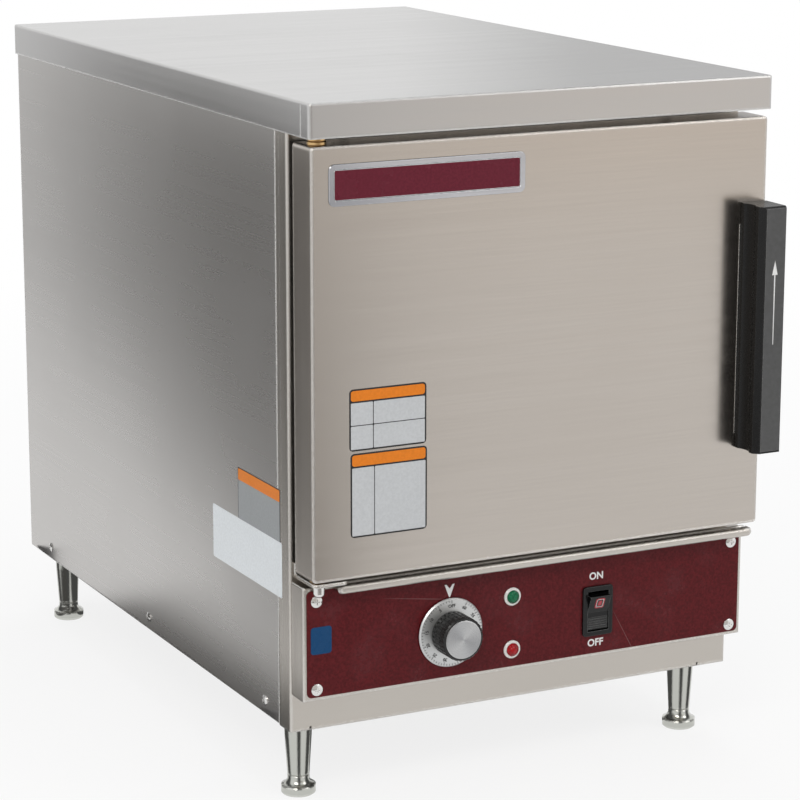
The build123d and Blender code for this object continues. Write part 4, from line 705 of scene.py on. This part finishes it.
noticeLabel = {   # ends along Y and in height, in millimetres in the shared frame
    "span": (-275.0, -190.3), "rise": (221.0, 268.6), "header": 11.5, "radius": 1.2,
}
noticeHead = {**noticeLabel, "rise": (noticeLabel["rise"][1] - noticeLabel["header"], noticeLabel["rise"][1])}
dataLabel = {"span": (-278.0, -136.5), "rise": (177.6, 224.4), "radius": 2.0}
sideLayers = (   # piece, its label, what is trimmed off its size, thickness, edge and material
    ("noticeLabelBacking", noticeLabel, 0.0, 0.10, 0.03, printBlack),
    ("noticeLabelField", noticeLabel, 1.6, 0.13, 0.02, labelGrey),
    ("noticeLabelHeader", noticeHead, 1.6, 0.16, 0.02, labelOrange),
    ("dataLabelField", dataLabel, 0.0, 0.22, 0.05, labelBright),
)
for name, label, trim, thick, edge, material in sideLayers:
    y, z = (middleOf(*label[key]) * mm for key in ("span", "rise"))
    width, height = ((label[key][1] - label[key][0] - trim) * mm for key in ("span", "rise"))
    platePiece(name, onFace((leftSide, y, z), facingLeft), (width, height, label["radius"] * mm), thick * mm,
               edge * mm, material, "cabinet")

badge = {
    "x": -193.4 * mm, "z": 150.9 * mm, "size": (18.6 * mm, 23.0 * mm, 2.6 * mm), "thick": 0.3 * mm,
    "edge": 0.08 * mm,
}
platePiece("panelBadge", onFace((badge["x"], overlayFront, badge["z"]), facingFront), badge["size"],
           badge["thick"], badge["edge"], badgeBlue, "cabinet")
print("plates and labels made")

printing = {
    "thick": 0.04 * mm, "size": 8.7 * mm, "bold": 0.24 * mm, "shift": -1.0 * mm, "above": 8.4 * mm,
    "below": 6.8 * mm,
}
wordsX = middleOf(switchLow.x, switchHigh.x) + printing["shift"]
onOff = [("ON", wordsX, switchHigh.z + printing["above"], 0.0),
         ("OFF", wordsX, switchLow.z - printing["below"], 0.0)]
letters("switchWords", onFace((0, overlayFront, 0), facingFront), onOff, printing, printWhite, "cabinet")

pointer = {
    "wide": 4.6, "arm": 2.9, "notch": 3.6, "long": 11.0, "tip": 0.45, "shift": -0.5, "gap": 0.4,
    "thick": 0.06,
}
dialMiddle = middleOf(dialLow, dialHigh)
shape = [(-pointer["wide"], 0), (-pointer["arm"], 0), (0, -pointer["notch"]), (pointer["arm"], 0),
         (pointer["wide"], 0), (pointer["tip"], -pointer["long"]), (-pointer["tip"], -pointer["long"])]
spot = onFace((dialMiddle.x + pointer["shift"] * mm, overlayFront,
               dialHigh.z + (pointer["gap"] + pointer["long"]) * mm), facingFront)
cutPieces("dialPointer", spot, [scaled(shape)], pointer["thick"] * mm, printWhite, "cabinet")

dial = {
    "radius": 29.5 * mm, "edge": 1.3 * mm, "minutes": 60, "figureEvery": 5, "longTick": 3.0 * mm,
    "shortTick": 1.7 * mm, "tickWide": 0.32 * mm, "numbersAt": 23.1 * mm, "size": 3.9 * mm,
    "thick": 0.03 * mm, "bold": 0.03 * mm,
}
fullTurn = math.radians(joints["timer_turn"]["range_deg"][1])
dialSpot = onFace((dialMiddle.x, dialLow.y, dialMiddle.z), facingFront)


def turned(x, y, angle):
    return (x * math.cos(angle) - y * math.sin(angle), x * math.sin(angle) + y * math.cos(angle))


ticks = []
figures = [("OFF", 0.0, dial["numbersAt"], 0.0)]
top, half = dial["radius"] - dial["edge"], dial["tickWide"] / 2
for minute in range(dial["minutes"] + 1):
    angle = fullTurn * minute / dial["minutes"]
    marked = minute % dial["figureEvery"] == 0
    low = top - dial["longTick" if marked else "shortTick"]
    ticks.append([turned(x, y, angle) for x, y in ((-half, low), (half, low), (half, top), (-half, top))])
    if minute and marked:
        x, y = turned(0.0, dial["numbersAt"], angle)
        figures.append((str(minute), x, y, angle))
cutPieces("dialTicks", dialSpot, ticks, dial["thick"], printBlack, "timer_knob")
letters("dialNumbers", dialSpot, figures, dial, printBlack, "timer_knob")
print("dial and switch printing made")

handleFace = {
    "left": 5.2 * mm, "right": 0.6 * mm, "end": 1.6 * mm, "radius": 0.6 * mm, "thick": 0.20 * mm,
    "edge": 0.08 * mm,
}
width = handleHigh.x - handleLow.x - handleFace["left"] - handleFace["right"]
height = handleHigh.z - handleLow.z - 2 * handleFace["end"]
spot = onFace((handleLow.x + handleFace["left"] + width / 2, handleLow.y,
               middleOf(handleLow.z, handleHigh.z)), facingFront)
platePiece("handleFaceSkin", spot, (width, height, handleFace["radius"]), handleFace["thick"],
           handleFace["edge"], handleSkin, "handle")

arrow = {
    "inset": 10.0 * mm, "low": 93.5, "high": 164.5, "head": 12.0, "wide": 2.7, "line": 0.6, "foot": 0.36,
    "thick": 0.06 * mm,
}
neck = arrow["high"] - arrow["head"]
shape = [(-arrow["foot"], arrow["low"]), (arrow["foot"], arrow["low"]), (arrow["line"], neck),
         (arrow["wide"], neck), (0, arrow["high"]), (-arrow["wide"], neck), (-arrow["line"], neck)]
spot = onFace((handleHigh.x - arrow["inset"], handleLow.y - handleFace["thick"], handleLow.z), facingFront)
cutPieces("handleArrow", spot, [scaled(shape)], arrow["thick"], printWhite, "handle")

backing = {
    "thick": 0.35 * mm, "edge": 0.1 * mm, "out": 1.3 * mm, "lowEnd": 12.0 * mm, "highEnd": 18.0 * mm,
    "radius": 1.0 * mm,
}
width = handleHigh.x - handleLow.x - backing["out"]
height = handleHigh.z - handleLow.z - backing["lowEnd"] - backing["highEnd"]
spot = onFace((handleLow.x - backing["out"] + width / 2, doorLow.y,
               handleLow.z + backing["lowEnd"] + height / 2), facingFront)
platePiece("handleBackStrip", spot, (width, height, backing["radius"]), backing["thick"], backing["edge"],
           brightPlate, "door")

rocker = {
    "faceOut": 5.6 * mm, "along": 9.3 * mm, "window": (8.8, 10.2), "ridges": 5, "firstRidge": 4.6,
    "ridgePitch": 2.0, "ridgeLong": 18.8, "ridgeWide": 0.9, "ridgeRadius": 0.3, "ridgeThick": 0.35 * mm,
}
windowLayers = (   # piece, inset and corner radius, thickness, edge, material, the hole's inset and radius
    ("switchWindowRing", (0.0, 1.6), 0.25, 0.1, windowRed, (1.1, 0.9)),
    ("switchWindowRim", (1.1, 0.9), 0.2, 0.05, printWhite, (1.5, 0.7)),
    ("switchWindowPane", (1.55, 0.7), 0.16, 0.05, printBlack, None),
    ("switchWindowMark", (2.6, 0.4), 0.2, 0.04, windowRed, None),
)
tilt = math.radians(joints["switch_rock"]["range_deg"][1]) / 2
pivot = Vector(joints["switch_rock"]["pos_m"])
ridgeLine = pivot - rocker["faceOut"] * Vector((0, math.cos(tilt), math.sin(tilt)))
rise = Vector((0, -math.sin(2 * tilt), math.cos(2 * tilt)))
windowSpot = onFace(ridgeLine + rise * rocker["along"], facingFront, lean=2 * tilt)


def windowSize(inset, radius):
    return tuple((length - 2 * inset) * mm for length in rocker["window"]) + (radius * mm,)


for name, outer, thick, edge, material, hole in windowLayers:
    platePiece(name, windowSpot, windowSize(*outer), thick * mm, edge * mm, material, "switch_paddle",
               hole=windowSize(*hole) if hole else None)
ridges = []
for step in range(rocker["ridges"]):
    drop = rocker["firstRidge"] + step * rocker["ridgePitch"]
    outline = roundedRectangle(rocker["ridgeLong"], rocker["ridgeWide"], rocker["ridgeRadius"], steps=3)
    ridges.append(scaled((x, z - drop) for x, z in outline))
cutPieces("switchRidges", onFace(ridgeLine, facingFront), ridges, rocker["ridgeThick"], switchPlastic,
          "switch_paddle")
print("handle and rocker pieces made")


# Floor, light and camera

def seesWhite(tree):   # 1 for rays that look at the backdrop straight, in a mirror or through glass
    rays = add(tree, "LightPath").outputs
    total = maths(tree, "ADD", rays["Is Camera Ray"], rays["Is Glossy Ray"])
    total = add(tree, "Math", {0: total, 1: rays["Is Transmission Ray"]}, operation="ADD", use_clamp=True)
    return total.outputs[0]


floor = {
    "radius": 40.0, "segments": 96, "colour": (0.88, 0.88, 0.88), "speckScale": 120.0, "speck": 0.015,
    "rough": 0.85, "specular": 0.1, "near": 0.35, "far": 2.0, "lift": (0.82, 1.0),
}
mesh = bmesh.new()
bmesh.ops.create_circle(mesh, cap_ends=True, radius=floor["radius"], segments=floor["segments"])
floorObject = newObject("studioFloor", meshData(mesh, "studioFloor"))
material, tree, shader = newMaterial("paleFloor")
where = here(tree)
glow = spread(tree, vectors(tree, "LENGTH", where), floor["near"], floor["far"], *floor["lift"])
base = variedColour(tree, noise(tree, where, floor["speckScale"], 3.0), floor["colour"], floor["speck"])
feed(tree, shader, {"Base Color": base, "Roughness": floor["rough"], "Specular IOR Level": floor["specular"]})
white = add(tree, "Emission", {"Color": (1, 1, 1, 1), "Strength": 1.0})
blend = add(tree, "MixShader", {0: maths(tree, "MULTIPLY", glow, seesWhite(tree)), 1: shader.outputs[0],
                                2: white.outputs[0]})
tree.links.new(blend.outputs[0], tree.nodes["Material Output"].inputs["Surface"])
floorObject.data.materials.append(material)

skyLook = {"ambient": (0.98, 0.99, 1.0), "ambientLevel": 0.55, "white": 1.0}
world = bpy.data.worlds.new("studioWorld")
scene.world = world
world.use_nodes = True
tree = world.node_tree
tree.nodes.clear()
ambient = add(tree, "Background", {"Color": shade(skyLook["ambient"]), "Strength": skyLook["ambientLevel"]})
paper = add(tree, "Background", {"Color": (1, 1, 1, 1), "Strength": skyLook["white"]})
sky = add(tree, "MixShader", {0: seesWhite(tree), 1: ambient.outputs[0], 2: paper.outputs[0]})
tree.links.new(sky.outputs[0], add(tree, "OutputWorld").inputs["Surface"])

flags = {   # grey screens that only metal and gloss see: their corners, grey level, tint and soft sides
    "leftFlag": {
        "corners": ((-0.34, -0.22, 0.0), (-0.34, -0.22, 0.555), (-0.76, 1.70, 0.57), (-0.76, 1.70, 0.16)),
        "level": 0.13, "tint": (1, 0.97, 0.94), "fade": {"Y": (0.10, 0.24), "Z": (0.0, 0.16)}},
    "leftShade": {
        "corners": ((-0.345, -0.20, 0.001), (-0.345, 0.34, 0.001), (-0.21, 0.34, 0.001),
                    (-0.21, -0.20, 0.001)),
        "level": 0.10, "tint": (1, 0.97, 0.94), "fade": {"Y": (0.1, 0.1)}},
    "rearFlag": {
        "corners": ((1.75, 3.4, 0.3), (1.75, 3.4, 2.4), (3.80, 2.9, 2.4), (3.80, 2.9, 0.3)),
        "level": 0.66, "tint": (1, 1, 1), "fade": {"X": (0.2, 0.2)}},
    "frontFlag": {
        "corners": ((-3.2, -3.3, 0.1), (-3.2, -3.3, 2.4), (1.25, -3.3, 2.4), (1.25, -3.3, 0.1)),
        "level": 0.60, "tint": (1, 0.94, 0.88), "fade": {"X": (0.1, 0.1), "Z": (0.0, 0.2)}},
    "warmWall": {
        "corners": ((1.30, -3.4, 0.02), (1.30, -3.4, 0.60), (3.60, -3.4, 0.60), (3.60, -3.4, 0.02)),
        "level": 1.0, "tint": (1, 0.90, 0.80), "fade": {}},
    "frontShade": {
        "corners": ((-0.90, -0.75, 0.001), (0.02, -0.75, 0.001), (1.35, -3.70, 0.001), (-1.5, -3.70, 0.001)),
        "level": 0.30, "tint": (1, 0.95, 0.90), "fade": {}},
    "ceilingFlag": {
        "corners": ((-2.4, -2.6, 3.3), (2.6, -2.6, 3.3), (2.6, 2.0, 3.3), (-2.4, 2.0, 3.3)),
        "level": 0.25, "tint": (1, 1, 1), "fade": {"X": (0.15, 0.15), "Y": (0.15, 0.15)}},
    "underShade": {
        "corners": ((-0.17, -0.24, 0.001), (-0.17, 0.33, 0.001), (0.19, 0.33, 0.001), (0.19, -0.24, 0.001)),
        "level": 0.10, "tint": (1, 1, 1), "fade": {}},
}
legScreens = {   # narrow screens round each foot, by their angles from the side that faces the camera
    "reach": 0.037, "high": 0.070, "level": 0.10, "facing": -116.0,
    "bands": ((-112, -74), (-6, 20), (66, 106)),
}
for name in nodes:
    if name.startswith("foot_"):
        footMiddle = middleOf(*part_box(name))
        for number, band in enumerate(legScreens["bands"]):
            corners = []
            for angle, ends in zip(band, ((0.0, legScreens["high"]), (legScreens["high"], 0.0))):
                turn = math.radians(angle + legScreens["facing"])
                x = footMiddle.x + legScreens["reach"] * math.cos(turn)
                y = footMiddle.y + legScreens["reach"] * math.sin(turn)
                corners += [(x, y, z) for z in ends]
            flags[f"{name}Screen{number}"] = {
                "corners": corners, "level": legScreens["level"], "tint": (1, 1, 1), "fade": {}}
for name, flag in flags.items():
    mesh = bmesh.new()
    mesh.faces.new([mesh.verts.new(corner) for corner in flag["corners"]])
    card = newObject(name, meshData(mesh, name))
    material = bpy.data.materials.new(name + "Grey")
    material.use_nodes = True
    tree = material.node_tree
    tree.nodes.clear()
    cover = 1.0
    across = parts(tree, add(tree, "TexCoord").outputs["Generated"])
    for axis, (start, end) in flag["fade"].items():   # how much of each side softens into the white round it
        if start:
            cover = maths(tree, "MULTIPLY", cover, spread(tree, across[axis], 0.0, start))
        if end:
            cover = maths(tree, "MULTIPLY", cover, spread(tree, across[axis], 1.0, 1.0 - end))
    colour = mixed(tree, cover, (1, 1, 1, 1), shade(flag["tint"], flag["level"]))
    grey = add(tree, "Emission", {"Color": colour, "Strength": 1.0})
    tree.links.new(grey.outputs[0], add(tree, "OutputMaterial").inputs["Surface"])
    card.data.materials.append(material)
    for ray in ("camera", "diffuse", "shadow", "transmission", "volume_scatter"):
        setattr(card, "visible_" + ray, False)

lamps = {   # where each stands, what it looks at, its width and height, power and colour
    "keyLamp": {"at": (-1.9, -2.2, 2.5), "to": (0, 0, 0.3), "size": (1.6, 1.2), "power": 34,
                "colour": (1.0, 0.97, 0.93)},
    "fillLamp": {"at": (2.2, -2.4, 2.6), "to": (0, 0, 0.3), "size": (1.4, 1.4), "power": 18,
                 "colour": (1.0, 0.98, 0.96)},
    "topLamp": {"at": (0.1, 0.2, 2.9), "to": (0, 0, 0.4), "size": (1.8, 1.8), "power": 22,
                "colour": (0.97, 0.99, 1.0)},
}
for name, lamp in lamps.items():
    light = bpy.data.lights.new(name, "AREA")
    light.shape = "RECTANGLE"
    light.size, light.size_y = lamp["size"]
    light.energy = lamp["power"]
    light.color = lamp["colour"]
    holder = newObject(name, light)
    holder.location = lamp["at"]
    look = Vector(lamp["to"]) - Vector(lamp["at"])
    holder.rotation_mode = "QUATERNION"
    holder.rotation_quaternion = look.to_track_quat("-Z", "Y")

viewpoint = {
    "place": (-1.1423, -2.3402, 0.8697), "azimuth": 26.75, "elevation": 13.09, "roll": 0.07,
    "lens": 130.36, "sensor": 36.0,
}
azimuth, elevation, roll = (math.radians(viewpoint[key]) for key in ("azimuth", "elevation", "roll"))
forward = Vector((math.sin(azimuth) * math.cos(elevation), math.cos(azimuth) * math.cos(elevation),
                  -math.sin(elevation)))
right = Vector((math.cos(azimuth), -math.sin(azimuth), 0.0))
above = right.cross(forward)
across = right * math.cos(roll) + above * math.sin(roll)
upward = above * math.cos(roll) - right * math.sin(roll)
cameraData = bpy.data.cameras.new("photoCamera")
cameraData.lens = viewpoint["lens"]
cameraData.sensor_width = viewpoint["sensor"]
camera = newObject("photoCamera", cameraData)
turn = Matrix((across, upward, -forward)).transposed().to_4x4()
camera.matrix_world = Matrix.Translation(viewpoint["place"]) @ turn
scene.camera = camera
scene.view_settings.view_transform = "Standard"
print("floor, light and camera set")
